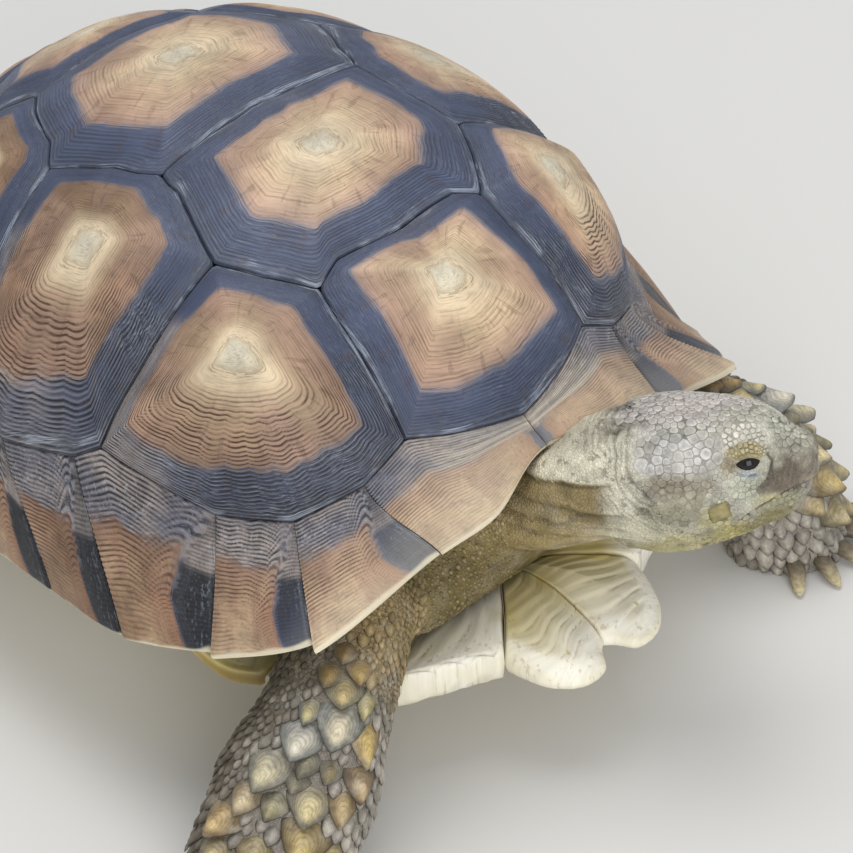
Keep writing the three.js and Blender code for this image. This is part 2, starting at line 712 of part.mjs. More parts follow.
vertebralPlates().forEach((geometry, i) => addNode(`vertebral_${i + 1}`, geometry, FINISH.carapace));
for (const [word, side] of [['left', 1], ['right', -1]]) {
  costalPlates(side).forEach((geometry, i) => addNode(`costal_${word}_${i + 1}`, geometry, FINISH.carapace));
  for (let k = 1; k <= MARGINALS_PER_SIDE; k += 1) {
    const tooth = RING.find((row) => row.at === k).tooth;
    addNode(`marginal_${word}_${k}`, marginalPlate(k - 1, k, tooth, side < 0), FINISH.carapace);
  }
}
addNode('supracaudal', marginalPlate(TAIL_PLATE - 1, TAIL_PLATE + 1, 0, false), FINISH.carapace);

const plastronCutters = [];
for (const [name, plan] of Object.entries(PLASTRON_OUTLINES)) {
  for (const [word, flip] of [['left', false], ['right', true]]) {
    addNode(`plastron_${name}_${word}`, plastronPlate(plan, flip), FINISH.plastron);
    plastronCutters.push(toSolid(plastronPlate(plan, flip, 2 * GAP)));
  }
}
const plastronRoom = plastronCutters.reduce((whole, piece) => whole.add(piece));

const shellRoom = [];
for (const flip of [false, true]) {
  for (let k = 1; k <= NECK_SIDE_MARGINALS; k += 1) {
    shellRoom.push(toSolid(marginalPlate(k - 1, k, 1, flip, 2 * GAP)));
  }
}
const rimRoom = shellRoom.reduce((whole, piece) => whole.add(piece));

const eyes = { left: eyeSolid(1, 0), right: eyeSolid(-1, 0) };
const head = headSolid(0).subtract(eyeSolid(1, GAP)).subtract(eyeSolid(-1, GAP)).subtract(rimRoom);
const trunkRoom = trunkSolid(GAP);
const trunk = trunkSolid(0).subtract(plastronRoom);
const neck = limb(NECK, SIDES.neck, SIDEWAYS)
  .subtract(trunkRoom)
  .subtract(headSolid(40))
  .subtract(rimRoom)
  .subtract(plastronRoom);

function legSolid(stations, sideways, bearing, claws) {
  const foot = stations[stations.length - 1];
  const whole = clawFan(foot, bearing, claws).reduce(
    (sum, piece) => sum.add(piece),
    limb(stations, SIDES.limb, sideways),
  );
  return mainBody(whole.subtract(trunkRoom).subtract(belowFloor()).subtract(plastronRoom));
}

const hindlegRight = HINDLEG.map(({ at, half }) => ({ at: [-at[0], at[1], at[2]], half }));
const legs = {
  foreleg_left: legSolid(FORELEG_LEFT, FOOT_SIDEWAYS, FOOT_BEARING.foreLeft, FORE_CLAW),
  foreleg_right: legSolid(FORELEG_RIGHT, FOOT_SIDEWAYS, FOOT_BEARING.foreRight, FORE_CLAW),
  hindleg_left: legSolid(HINDLEG, SIDEWAYS, FOOT_BEARING.hind, HIND_CLAW),
  hindleg_right: legSolid(hindlegRight, SIDEWAYS, -FOOT_BEARING.hind, HIND_CLAW),
};
const tail = mainBody(limb(TAIL, SIDES.tail, SIDEWAYS).subtract(trunkRoom).subtract(plastronRoom));

addNode('head', toGeometry(mainBody(head)), FINISH.head);
addNode('eye_left', toGeometry(eyes.left), FINISH.eye);
addNode('eye_right', toGeometry(eyes.right), FINISH.eye);
addNode('neck', toGeometry(mainBody(neck)), FINISH.skin);
addNode('trunk', toGeometry(mainBody(trunk)), FINISH.skin);
addNode('tail', toGeometry(tail), FINISH.skin);
for (const [name, solid] of Object.entries(legs)) addNode(name, toGeometry(solid), FINISH.skin);

// The frame's origin is under the middle of the whole animal, on the floor.
const bounds = new THREE.Box3().setFromObject(group);
const middle = bounds.getCenter(new THREE.Vector3());
group.position.set(-middle.x, -middle.y, -bounds.min.z);

export default group;
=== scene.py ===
"""Looks of a still, life-size sulcata tortoise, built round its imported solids.

Lengths in the classes are in millimetres in the animal's own frame: +X to its left, +Y to its tail and +Z up
from the floor, with x = 0 on its midline. ``Site`` turns them into the frame's metres.
"""

import logging
import math
from dataclasses import dataclass, field
from enum import Enum

import bmesh  # noqa: E402
import bpy  # noqa: E402
import numpy as np  # noqa: E402
from mathutils import Matrix, Vector  # noqa: E402
from mathutils.bvhtree import BVHTree  # noqa: E402

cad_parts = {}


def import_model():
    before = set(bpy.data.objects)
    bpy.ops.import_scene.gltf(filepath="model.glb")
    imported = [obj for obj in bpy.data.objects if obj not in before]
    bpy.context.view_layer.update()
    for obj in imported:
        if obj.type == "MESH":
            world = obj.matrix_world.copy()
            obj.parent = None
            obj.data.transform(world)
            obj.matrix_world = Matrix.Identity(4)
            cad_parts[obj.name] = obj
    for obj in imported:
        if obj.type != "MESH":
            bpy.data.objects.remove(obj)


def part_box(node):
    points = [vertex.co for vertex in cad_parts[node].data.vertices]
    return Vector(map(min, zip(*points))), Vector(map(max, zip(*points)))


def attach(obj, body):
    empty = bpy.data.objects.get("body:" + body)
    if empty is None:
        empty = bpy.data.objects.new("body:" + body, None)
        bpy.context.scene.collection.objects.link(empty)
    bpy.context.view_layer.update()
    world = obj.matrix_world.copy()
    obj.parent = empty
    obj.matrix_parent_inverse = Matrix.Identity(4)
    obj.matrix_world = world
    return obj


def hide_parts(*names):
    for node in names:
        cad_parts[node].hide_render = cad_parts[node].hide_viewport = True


LOG = logging.getLogger("tortoise")
BODY = "root"


# -------------------------------------------------------------------------------- helpers


def colour(code: str) -> tuple[float, float, float, float]:
    """Turn a display colour such as "d8c8a0" into a linear colour.

    Args:
        code: six hexadecimal digits.

    Returns:
        Linear red, green, blue and an alpha of one.
    """
    linear = []
    for start in (0, 2, 4):
        value = int(code[start : start + 2], 16) / 255
        linear.append(value / 12.92 if value <= 0.04045 else ((value + 0.055) / 1.055) ** 2.4)
    return (linear[0], linear[1], linear[2], 1.0)


def smooth(value: np.ndarray | float, low: float = 0.0, high: float = 1.0) -> np.ndarray:
    """Smooth step of a value between two limits."""
    share = np.clip((np.asarray(value, dtype=float) - low) / (high - low), 0.0, 1.0)
    return share * share * (3.0 - 2.0 * share)


def unit(vectors: np.ndarray) -> np.ndarray:
    """Vectors scaled to length one along their last axis."""
    return vectors / np.maximum(np.linalg.norm(vectors, axis=-1, keepdims=True), 1e-12)


def ripple(places: np.ndarray, wavelength: float, seed: int, waves: int = 7) -> np.ndarray:
    """A smooth wandering value over space, from a few plane waves with fixed random directions.

    Args:
        places: points, with their coordinates along the last axis.
        wavelength: the typical distance between two crests, in the places' own unit.
        seed: picks the waves.
        waves: how many of them are summed.

    Returns:
        One value for each place, mostly between -1 and 1.
    """
    chance = np.random.default_rng(seed)
    size = places.shape[-1]
    total = np.zeros(places.shape[:-1])
    for _ in range(waves):
        heading = unit(chance.normal(size=size))
        pace = 2 * math.pi / (wavelength * chance.uniform(0.6, 1.6))
        total += np.sin(places @ heading * pace + chance.uniform(0, 2 * math.pi))
    return total / math.sqrt(waves)


class Side(Enum):
    """The two sides of the animal."""

    LEFT = 1
    RIGHT = -1

    @property
    def word(self) -> str:
        """The side's word in a node's name."""
        return self.name.lower()


def rgb(code: str) -> np.ndarray:
    """A display colour's linear red, green and blue."""
    return np.array(colour(code)[:3])


def left_folded(local: np.ndarray) -> np.ndarray:
    """Head points folded onto the head's left half."""
    return np.concatenate([np.abs(local[:, :1]), local[:, 1:]], axis=1)


def bump_line(distance: np.ndarray, width: float) -> np.ndarray:
    """A soft line: one on it, falling to nothing at a few widths."""
    return np.exp(-((distance / width) ** 2))


def ridge_profile(turns: np.ndarray, crest: float) -> np.ndarray:
    """Growth ridges' height, 0 to 1, which rises over the crest's share of each ridge and then falls."""
    phase = np.mod(turns, 1.0)
    return smooth(np.where(phase < crest, phase / crest, (1 - phase) / (1 - crest)))


def evenly(path: np.ndarray, count: int) -> np.ndarray:
    """Spread places evenly along a closed path in the plane.

    Args:
        path: the path's corners, in order.
        count: how many places are wanted.

    Returns:
        The places, count x 2.
    """
    closed = np.vstack([path, path[:1]])
    along = np.concatenate([[0], np.cumsum(np.linalg.norm(np.diff(closed, axis=0), axis=1))])
    wanted = np.linspace(0, along[-1], count, endpoint=False)
    return np.stack([np.interp(wanted, along, closed[:, k]) for k in range(2)], axis=-1)


def merged(bodies: list[tuple]) -> tuple[np.ndarray, list]:
    """Put several bodies into one list of points and one of faces.

    Args:
        bodies: the points and faces of each, which may be followed by more.

    Returns:
        All the points, and all the faces with their point numbers moved on.
    """
    points, faces, start = [], [], 0
    for body, polygons, *_ in bodies:
        points.append(body)
        faces.extend([[number + start for number in polygon] for polygon in polygons])
        start += len(body)
    return np.concatenate(points), faces


def on_side(points: np.ndarray, faces: list, side: Side) -> tuple[np.ndarray, list]:
    """Set a body that was built on the left on a side.

    Args:
        points: its points, in millimetres.
        faces: its faces.
        side: the side it goes to.

    Returns:
        The points and the faces there.
    """
    if side is Side.LEFT:
        return points, faces
    return points * (-1, 1, 1), [face[::-1] for face in faces]


class Site:
    """Where the animal's midline and nose-to-tail zero lie in the frame."""

    def __init__(self, eye_centre: np.ndarray) -> None:
        """Find the shift from the left eye, whose place on the animal is known.

        Args:
            eye_centre: centre of the left eye, in millimetres on the animal.
        """
        low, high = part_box("eye_left")
        middle = (np.array(low) + np.array(high)) / 2
        self.shift = middle * 1000 - eye_centre
        self.shift[2] = 0.0

    def metres(self, points: np.ndarray) -> np.ndarray:
        """Points in the frame's metres."""
        return (np.asarray(points, dtype=float) + self.shift) / 1000

    def millimetres(self, points: np.ndarray) -> np.ndarray:
        """Points of the frame on the animal, in millimetres."""
        return np.asarray(points, dtype=float) * 1000 - self.shift


def in_scene(name: str, data: bpy.types.ID) -> bpy.types.Object:
    """Make an object of a mesh, a lamp or a camera and link it to the scene.

    Args:
        name: the object's name.
        data: what it shows.

    Returns:
        The new object.
    """
    obj = bpy.data.objects.new(name, data)
    bpy.context.scene.collection.objects.link(obj)
    return obj


def set_attribute(mesh: bpy.types.Mesh, name: str, values: np.ndarray) -> None:
    """Store a value on each point of a mesh.

    Args:
        mesh: the mesh.
        name: the attribute's name.
        values: N numbers or N x 3 vectors.
    """
    values = np.asarray(values, dtype=np.float32)
    kind, key = ("FLOAT", "value") if values.ndim == 1 else ("FLOAT_VECTOR", "vector")
    mesh.attributes.new(name, kind, "POINT").data.foreach_set(key, values.ravel())


def shade_smooth(mesh: bpy.types.Mesh) -> None:
    """Shade all of a mesh's faces smooth."""
    mesh.polygons.foreach_set("use_smooth", np.ones(len(mesh.polygons), dtype=bool))


def add_mesh(
    name: str, points: np.ndarray, faces: list, attributes: dict[str, np.ndarray] | None = None
) -> bpy.types.Object:
    """Make an object from points in metres and faces.

    Args:
        name: the object's name.
        points: N x 3 coordinates.
        faces: lists of point numbers.
        attributes: values for each point, N numbers or N x 3 vectors.

    Returns:
        The new object, linked to the scene.
    """
    mesh = bpy.data.meshes.new(name)
    mesh.from_pydata(np.asarray(points, dtype=float).tolist(), [], faces)
    for key, values in (attributes or {}).items():
        set_attribute(mesh, key, values)
    shade_smooth(mesh)
    mesh.update()
    return in_scene(name, mesh)


def read_vectors(items: bpy.types.bpy_prop_collection, key: str) -> np.ndarray:
    """Read a vector of each of a mesh's points.

    Args:
        items: the mesh's vertices, normals or attribute values.
        key: what to read of each.

    Returns:
        An N x 3 array.
    """
    values = np.empty(len(items) * 3, dtype=np.float32)
    items.foreach_get(key, values)
    return values.reshape(-1, 3).astype(float)


def mesh_points(mesh: bpy.types.Mesh) -> np.ndarray:
    """A mesh's points, as an N x 3 array."""
    return read_vectors(mesh.vertices, "co")


def mesh_normals(mesh: bpy.types.Mesh) -> np.ndarray:
    """The normals at a mesh's points, as an N x 3 array."""
    return read_vectors(mesh.vertex_normals, "vector")


def move_points(mesh: bpy.types.Mesh, points: np.ndarray) -> None:
    """Give a mesh's points new places, in metres."""
    mesh.vertices.foreach_set("co", points.astype(np.float32).ravel())


def baked(obj: bpy.types.Object) -> bpy.types.Mesh:
    """Apply an object's modifiers and remove the object itself.

    Args:
        obj: the object.

    Returns:
        The mesh that its modifiers make.
    """
    mesh = bpy.data.meshes.new_from_object(obj.evaluated_get(bpy.context.evaluated_depsgraph_get()))
    bpy.data.objects.remove(obj)
    return mesh


def face_outwards(points: np.ndarray, faces: np.ndarray) -> np.ndarray:
    """Turn the faces of a closed body round if they point inwards.

    Args:
        points: N x 3 coordinates.
        faces: M x 3 or M x 4 point numbers.

    Returns:
        The faces, wound so that they point out.
    """
    a, b, c = (points[faces[:, i]] for i in range(3))
    volume = np.einsum("ij,ij->i", a, np.cross(b, c)).sum()
    if faces.shape[1] == 4:
        d = points[faces[:, 3]]
        volume += np.einsum("ij,ij->i", a, np.cross(c, d)).sum()
    return faces[:, ::-1] if volume < 0 else faces


def grid_faces(rows: int, columns: int, wrap: bool) -> np.ndarray:
    """Quads of a grid of points numbered row by row.

    Args:
        rows: number of rows.
        columns: number of points in each row.
        wrap: whether each row closes on itself.

    Returns:
        The quads as an array of point numbers.
    """
    here = np.arange(rows * columns).reshape(rows, columns)
    right = np.roll(here, -1, axis=1)
    quads = np.stack([here[:-1], right[:-1], right[1:], here[1:]], axis=-1)
    if not wrap:
        quads = quads[:, :-1]
    return quads.reshape(-1, 4)


def closed_rings(rows: np.ndarray, ends: np.ndarray, attributes: dict) -> tuple[np.ndarray, list, dict]:
    """Stitch rings into a closed body with a point at both ends.

    Args:
        rows: rings of points, R x S x 3, in millimetres.
        ends: the first and last point.
        attributes: name to the values on the outer rings, the value at the first point and the value
            on the rings after the outer ones and at the last point.

    Returns:
        The points, the faces and the values of each attribute on every point.
    """
    count, sectors = rows.shape[:2]
    points = np.concatenate([ends[:1], rows.reshape(-1, 3), ends[1:]])
    quads = grid_faces(count, sectors, True) + 1
    ring = np.arange(sectors)
    following = np.roll(ring, -1)
    last = len(points) - 1
    base = last - sectors
    first_fan = np.stack([np.zeros(sectors, int), 1 + following, 1 + ring], axis=-1)
    last_fan = np.stack([np.full(sectors, last), base + ring, base + following], axis=-1)
    triangles = np.concatenate([first_fan, last_fan])
    outward = face_outwards(points, quads)
    if not np.array_equal(outward, quads):
        triangles = triangles[:, ::-1]
    values = {}
    for key, (outer, start, inside) in attributes.items():
        outer = np.asarray(outer, dtype=float)
        size = outer.shape[2:]
        inner = np.broadcast_to(np.asarray(inside, dtype=float), (count - outer.shape[0], sectors, *size))
        flat = np.concatenate([outer, inner]).reshape(-1, *size)
        tip = np.broadcast_to(np.asarray(start, dtype=float), (1, *size))
        tail = np.broadcast_to(np.asarray(inside, dtype=float), (1, *size))
        values[key] = np.concatenate([tip, flat, tail])
    return points, outward.tolist() + triangles.tolist(), values


def finish_piece(
    piece: bpy.types.Object, material: bpy.types.Material, nodes: list[str]
) -> bpy.types.Object:
    """Give a piece its material, its body and the solids that it stands for.

    Args:
        piece: the piece, in place.
        material: its finish.
        nodes: the CAD nodes that it replaces, if any.

    Returns:
        The same piece.
    """
    if not piece.data.materials:
        piece.data.materials.append(material)
    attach(piece, BODY)
    if nodes:
        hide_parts(*nodes)
    LOG.info("%s: %d faces", piece.name, len(piece.data.polygons))
    return piece


# -------------------------------------------------------------------------------- shell form


@dataclass(frozen=True)
class RingRow:
    """One place round the marginal ring, in degrees and millimetres as on the solids."""

    at: float
    bearing: float | None = None
    reach: float | None = None
    rim: tuple[float, float, float] | None = None
    flare: float | None = None
    tooth: float = 0.0


RING = (
    RingRow(0, 0, 0.931, (0, -197, 156), 0.85),
    RingRow(0.6, rim=(42, -208, 149)),
    RingRow(0.7, 21.4, 0.902),
    RingRow(1, 29.4, 0.949, (69, -201, 140), 0.85, 1),
    RingRow(2, 40.5, 0.98, (130, -184, 118), 0.9, 6),
    RingRow(3, 51.7, 0.978, (153, -141, 98), 0.75, 4),
    RingRow(3.7, 69.6, 0.936),
    RingRow(4, 74, 0.959, (171, -99, 90), 0.5, 2),
    RingRow(5, 87.4, 0.982, (175, -52, 88), 0.35),
    RingRow(5.7, 96.5, 0.95),
    RingRow(6, 101, 0.966, (177, 0, 87), 0.3),
    RingRow(7, 114, 0.978, (176, 54, 88), 0.35),
    RingRow(7.7, 122, 0.95),
    RingRow(8, 126, 0.965, (173, 106, 91), 0.5, 2),
    RingRow(9, 139, 0.975, (163, 156, 97), 0.7, 4),
    RingRow(10, 153, 0.968, (132, 203, 104), 0.75, 4),
    RingRow(10.3, 157, 0.95),
    RingRow(11, 167, 0.965, (62, 237, 100), 0.6, 3),
    RingRow(12, 180, 0.965, (0, 248, 92), 0.35),
)
TAIL_PLATE = 12


@dataclass(frozen=True)
class Dome:
    """The vault that the upper plates lie on, and the ring of marginals that hangs from it."""

    apex: float = 250
    base: float = 128.5
    half_width: float = 164.7
    front: float = 197
    rear: float = 207
    slope: float = 2.21
    crown: float = 1.615
    spread: float = math.radians(72)
    rim_pull: float = 0.36

    def point(self, bearing: np.ndarray, reach: np.ndarray) -> np.ndarray:
        """Points of the vault.

        Args:
            bearing: turns from straight ahead, in radians.
            reach: share of the way out to the vault's foot.

        Returns:
            The points, in millimetres.
        """
        half_length = np.where(np.cos(bearing) > 0, self.front, self.rear)
        fall = np.minimum(np.maximum(reach, 1e-4) ** self.slope, 1.0)
        rise = (self.apex - self.base) * (1 - fall) ** (1 / self.crown)
        x = self.half_width * reach * np.sin(bearing)
        y = -half_length * reach * np.cos(bearing)
        return np.stack([x, y, self.base + rise], axis=-1)

    def lifted(self, bearing: np.ndarray, reach: np.ndarray, lift: np.ndarray) -> np.ndarray:
        """Points that stand square off the vault.

        Args:
            bearing: turns from straight ahead, in radians.
            reach: share of the way out to the vault's foot.
            lift: height over the vault.

        Returns:
            The points, in millimetres.
        """
        step = 0.002
        near = np.maximum(reach - step, 0.01)
        outward = self.point(bearing, near + step) - self.point(bearing, near)
        across = self.point(bearing + step, near + step) - self.point(bearing - step, near + step)
        normal = unit(np.cross(outward, across))
        return self.point(bearing, reach) + normal * np.asarray(lift)[..., None]

    @staticmethod
    def seam_bearing(at: np.ndarray) -> np.ndarray:
        """Bearing of the marginal seam.

        Args:
            at: ring places, from 0 at the nape to 12 at the tail plate and on to 24 round the right half.

        Returns:
            Turns from straight ahead, in radians, negative on the animal's right.
        """
        rows = [row for row in RING if row.bearing is not None]
        turn = np.mod(at, 2 * TAIL_PLATE)
        place = np.where(turn > TAIL_PLATE, 2 * TAIL_PLATE - turn, turn)
        side = np.where(turn > TAIL_PLATE, -1.0, 1.0)
        degrees = np.interp(place, [row.at for row in rows], [row.bearing for row in rows])
        return side * np.radians(degrees)

    @staticmethod
    def seam_reach(bearing: np.ndarray) -> np.ndarray:
        """Share of the vault that the upper plates cover.

        Args:
            bearing: turns from straight ahead, in radians.

        Returns:
            The share at each bearing.
        """
        rows = [row for row in RING if row.bearing is not None]
        degrees = np.minimum(np.abs(np.degrees(bearing)), 180)
        return np.interp(degrees, [row.bearing for row in rows], [row.reach for row in rows])

    def chart(self, plan: tuple[float, float]) -> np.ndarray:
        """Place of a plan point in the flat chart of the upper plates, whose foot is at radius one.

        Args:
            plan: x and y on the animal, in millimetres.

        Returns:
            The chart place.
        """
        x, y = plan
        half_length = self.front if y < 0 else self.rear
        bearing = math.atan2(x / self.half_width, -y / half_length)
        reach = math.hypot(x / self.half_width, y / half_length) / float(self.seam_reach(bearing))
        radius = math.asin(min(reach, 1) * math.sin(self.spread)) / self.spread
        return np.array([radius * math.sin(bearing), -radius * math.cos(bearing)])

    def seam_spot(self, at: float) -> np.ndarray:
        """Chart place of the marginal seam at a ring place."""
        bearing = float(self.seam_bearing(np.array(at)))
        return np.array([math.sin(bearing), -math.cos(bearing)])

    def upper(self, spots: np.ndarray, lift: np.ndarray) -> np.ndarray:
        """Points over chart places.

        Args:
            spots: chart places.
            lift: height over the vault.

        Returns:
            The points, in millimetres.
        """
        bearing = np.arctan2(spots[..., 0], -spots[..., 1])
        radius = np.minimum(np.linalg.norm(spots, axis=-1), 1.0)
        share = np.sin(radius * self.spread) / math.sin(self.spread)
        reach = np.maximum(self.seam_reach(bearing) * share, 0.001)
        return self.lifted(bearing, reach, lift)

    @staticmethod
    def rim(at: np.ndarray) -> np.ndarray:
        """Points of the rim's edge on the left half, on a centripetal curve.

        Args:
            at: ring places.

        Returns:
            The points, in millimetres.
        """
        rows = [row for row in RING if row.rim is not None]
        left = [np.array(row.rim, dtype=float) for row in rows]
        right = [corner * (-1, 1, 1) for corner in left[-2:0:-1]]
        knots = np.array(left + right)
        places = np.array([row.at for row in rows])
        at = np.abs(np.asarray(at, dtype=float))
        upper = np.clip(np.searchsorted(places, at, side="left"), 1, len(places) - 1)
        share = ((at - places[upper - 1]) / (places[upper] - places[upper - 1]))[..., None]
        p0, p1, p2, p3 = (knots[(upper - 2 + k) % len(knots)] for k in range(4))
        spans = ((p0, p1), (p1, p2), (p2, p3))
        d0, d1, d2 = (np.linalg.norm(b - a, axis=-1)[..., None] ** 0.5 for a, b in spans)
        start = ((p1 - p0) / d0 - (p2 - p0) / (d0 + d1) + (p2 - p1) / d1) * d1
        end = ((p2 - p1) / d1 - (p3 - p1) / (d1 + d2) + (p3 - p2) / d2) * d1
        cubic = 2 * p1 - 2 * p2 + start + end
        square = -3 * p1 + 3 * p2 - 2 * start - end
        return ((cubic * share + square) * share + start) * share + p1

    def margin(self, at: np.ndarray, drop: np.ndarray, tooth: np.ndarray) -> np.ndarray:
        """Points of the marginal ring on the left half, from its seam (drop 0) to its rim (drop 1).

        Args:
            at: ring places.
            drop: shares of the way down.
            tooth: how far the rim stands out there, in millimetres.

        Returns:
            The points, in millimetres.
        """
        mirror = np.where(at < 0, -1.0, 1.0)
        bearing = self.seam_bearing(np.abs(at))
        reach = self.seam_reach(bearing)
        top = self.point(bearing, reach)
        rim = self.rim(at)
        pull = np.linalg.norm(rim - top, axis=-1)[..., None] * self.rim_pull
        heading = rim - top
        heading[..., 2] = 0
        heading = unit(heading)
        rim = rim + heading * np.asarray(tooth)[..., None]
        fall = -unit(self.point(bearing, reach + 0.005) - top)[..., 2]
        rows = [row for row in RING if row.flare is not None]
        flare = np.interp(np.abs(at), [row.at for row in rows], [row.flare for row in rows])
        first = top + self._leaning(heading, fall) * pull
        second = rim - self._leaning(heading, np.sqrt(1 - flare**2)) * pull
        t = np.asarray(drop)[..., None]
        curve = top * (1 - t) ** 3 + first * 3 * t * (1 - t) ** 2 + second * 3 * t**2 * (1 - t) + rim * t**3
        curve[..., 0] *= mirror
        return curve

    @staticmethod
    def _leaning(heading: np.ndarray, fall: np.ndarray) -> np.ndarray:
        """Directions that lean down from level headings.

        Args:
            heading: level unit vectors.
            fall: how far each direction drops.

        Returns:
            Unit vectors.
        """
        lean = heading * np.sqrt(np.maximum(1 - fall**2, 0))[..., None]
        lean[..., 2] = -fall
        return lean


# -------------------------------------------------------------------------------- node trees


class Tree:
    """A thin wrapper that adds and joins the nodes of one shader tree."""

    def __init__(self, tree: bpy.types.NodeTree) -> None:
        """Wrap a node tree."""
        self.tree = tree

    def add(self, kind: str, inputs: dict | None = None, **settings: object) -> bpy.types.Node:
        """Add a node, set its settings, and set or link its inputs.

        Args:
            kind: the node's type, without "ShaderNode".
            inputs: input name or number to a value or a socket to link from.
            settings: the node's own settings.

        Returns:
            The node.
        """
        node = self.tree.nodes.new("ShaderNode" + kind)
        for key, value in settings.items():
            setattr(node, key, value)
        self.fill(node, inputs or {})
        return node

    def fill(self, node: bpy.types.Node, inputs: dict) -> None:
        """Set or link a node's inputs.

        Args:
            node: the node.
            inputs: input name or number to a value or a socket to link from.
        """
        for key, value in inputs.items():
            if isinstance(value, bpy.types.NodeSocket):
                self.tree.links.new(value, node.inputs[key])
            else:
                node.inputs[key].default_value = value

    def math(self, operation: str, *values: object, clamp: bool = False) -> bpy.types.NodeSocket:
        """The result of a Math node."""
        return self.add("Math", dict(enumerate(values)), operation=operation, use_clamp=clamp).outputs[0]

    def times(self, first: object, second: object, clamp: bool = False) -> bpy.types.NodeSocket:
        """The product of two values."""
        return self.math("MULTIPLY", first, second, clamp=clamp)

    def blend(self, share: object, low: object, high: object, mode: str = "MIX") -> bpy.types.NodeSocket:
        """A colour mixed from two by a share."""
        inputs = {0: share, 6: low, 7: high}
        return self.add("Mix", inputs, data_type="RGBA", blend_type=mode, clamp_result=True).outputs[2]

    def over(self, base: object, share: object, code: str) -> bpy.types.NodeSocket:
        """A colour with a display colour laid over it by a share."""
        return self.blend(share, base, colour(code))

    def toned(self, base: object, tone: object) -> bpy.types.NodeSocket:
        """A colour made darker or lighter by a factor."""
        return self.blend(1.0, base, self.grey(tone), "MULTIPLY")

    def between(
        self, value: object, low: float, high: float, out: tuple = (0.0, 1.0)
    ) -> bpy.types.NodeSocket:
        """A value's smooth place between two limits, as a share or between two outputs."""
        inputs = {0: value, 1: low, 2: high, 3: out[0], 4: out[1]}
        return self.add("MapRange", inputs, interpolation_type="SMOOTHSTEP").outputs[0]

    def noise(
        self, place: object, scale: float, detail: float = 3.0, rough: float = 0.55
    ) -> bpy.types.NodeSocket:
        """A noise value around 0.5 at a place."""
        inputs = {"Vector": place, "Scale": scale, "Detail": detail, "Roughness": rough}
        return self.add("TexNoise", inputs).outputs[0]

    def grey(self, value: object) -> bpy.types.NodeSocket:
        """A grey as light as a value."""
        return self.add("CombineColor", {0: value, 1: value, 2: value}).outputs[0]

    def value_of(self, name: str) -> bpy.types.NodeSocket:
        """A number attribute of the piece."""
        return self.add("Attribute", attribute_name=name).outputs["Fac"]

    def vector_of(self, name: str) -> bpy.types.NodeSocket:
        """A vector attribute of the piece."""
        return self.add("Attribute", attribute_name=name).outputs["Vector"]

    def bump(self, strength: float, distance: float, height: object) -> bpy.types.NodeSocket:
        """A normal bent by a height, whose distance is in metres."""
        return self.add("Bump", {"Strength": strength, "Distance": distance, "Height": height}).outputs[0]

    def place(self) -> bpy.types.NodeSocket:
        """Object coordinates."""
        return self.add("TexCoord").outputs["Object"]

    def stretched(self, vector: object, scale: tuple[float, float, float]) -> bpy.types.NodeSocket:
        """A vector scaled along its axes."""
        return self.add("Mapping", {"Vector": vector, "Scale": scale}).outputs[0]

    def ramp(self, value: object, stops: list[tuple[float, str]]) -> bpy.types.NodeSocket:
        """Pick a colour by a value.

        Args:
            value: the value.
            stops: places on the ramp, the lowest first, and their display colours.

        Returns:
            The colour.
        """
        node = self.add("ValToRGB", {0: value})
        elements = node.color_ramp.elements
        for element, (position, code) in zip(elements, (stops[0], stops[-1])):
            element.position, element.color = position, colour(code)
        for position, code in stops[1:-1]:
            elements.new(position).color = colour(code)
        return node.outputs[0]


def node_group(
    name: str, inputs: dict[str, tuple[str, float | tuple]], outputs: dict[str, str]
) -> tuple[bpy.types.ShaderNodeTree, Tree, bpy.types.Node, bpy.types.Node]:
    """Start a shader node group.

    Args:
        name: the group's name.
        inputs: socket name to its kind, "Float", "Vector" or "Color", and default value.
        outputs: socket name to its kind.

    Returns:
        The group, its wrapper, and its input and output nodes.
    """
    group = bpy.data.node_groups.new(name, "ShaderNodeTree")
    for key, (kind, value) in inputs.items():
        socket = group.interface.new_socket(key, in_out="INPUT", socket_type="NodeSocket" + kind)
        socket.default_value = value
    for key, kind in outputs.items():
        group.interface.new_socket(key, in_out="OUTPUT", socket_type="NodeSocket" + kind)
    start = group.nodes.new("NodeGroupInput")
    end = group.nodes.new("NodeGroupOutput")
    return group, Tree(group), start, end


class Paint(Tree):
    """A material under way."""

    def __init__(self, name: str) -> None:
        """Start a material.

        Args:
            name: the material's name.
        """
        self.material = bpy.data.materials.new(name)
        self.material.use_nodes = True
        super().__init__(self.material.node_tree)

    def finished(self, inputs: dict) -> bpy.types.Material:
        """Set or link the surface's inputs, and give back the material."""
        self.fill(self.tree.nodes["Principled BSDF"], inputs)
        return self.material


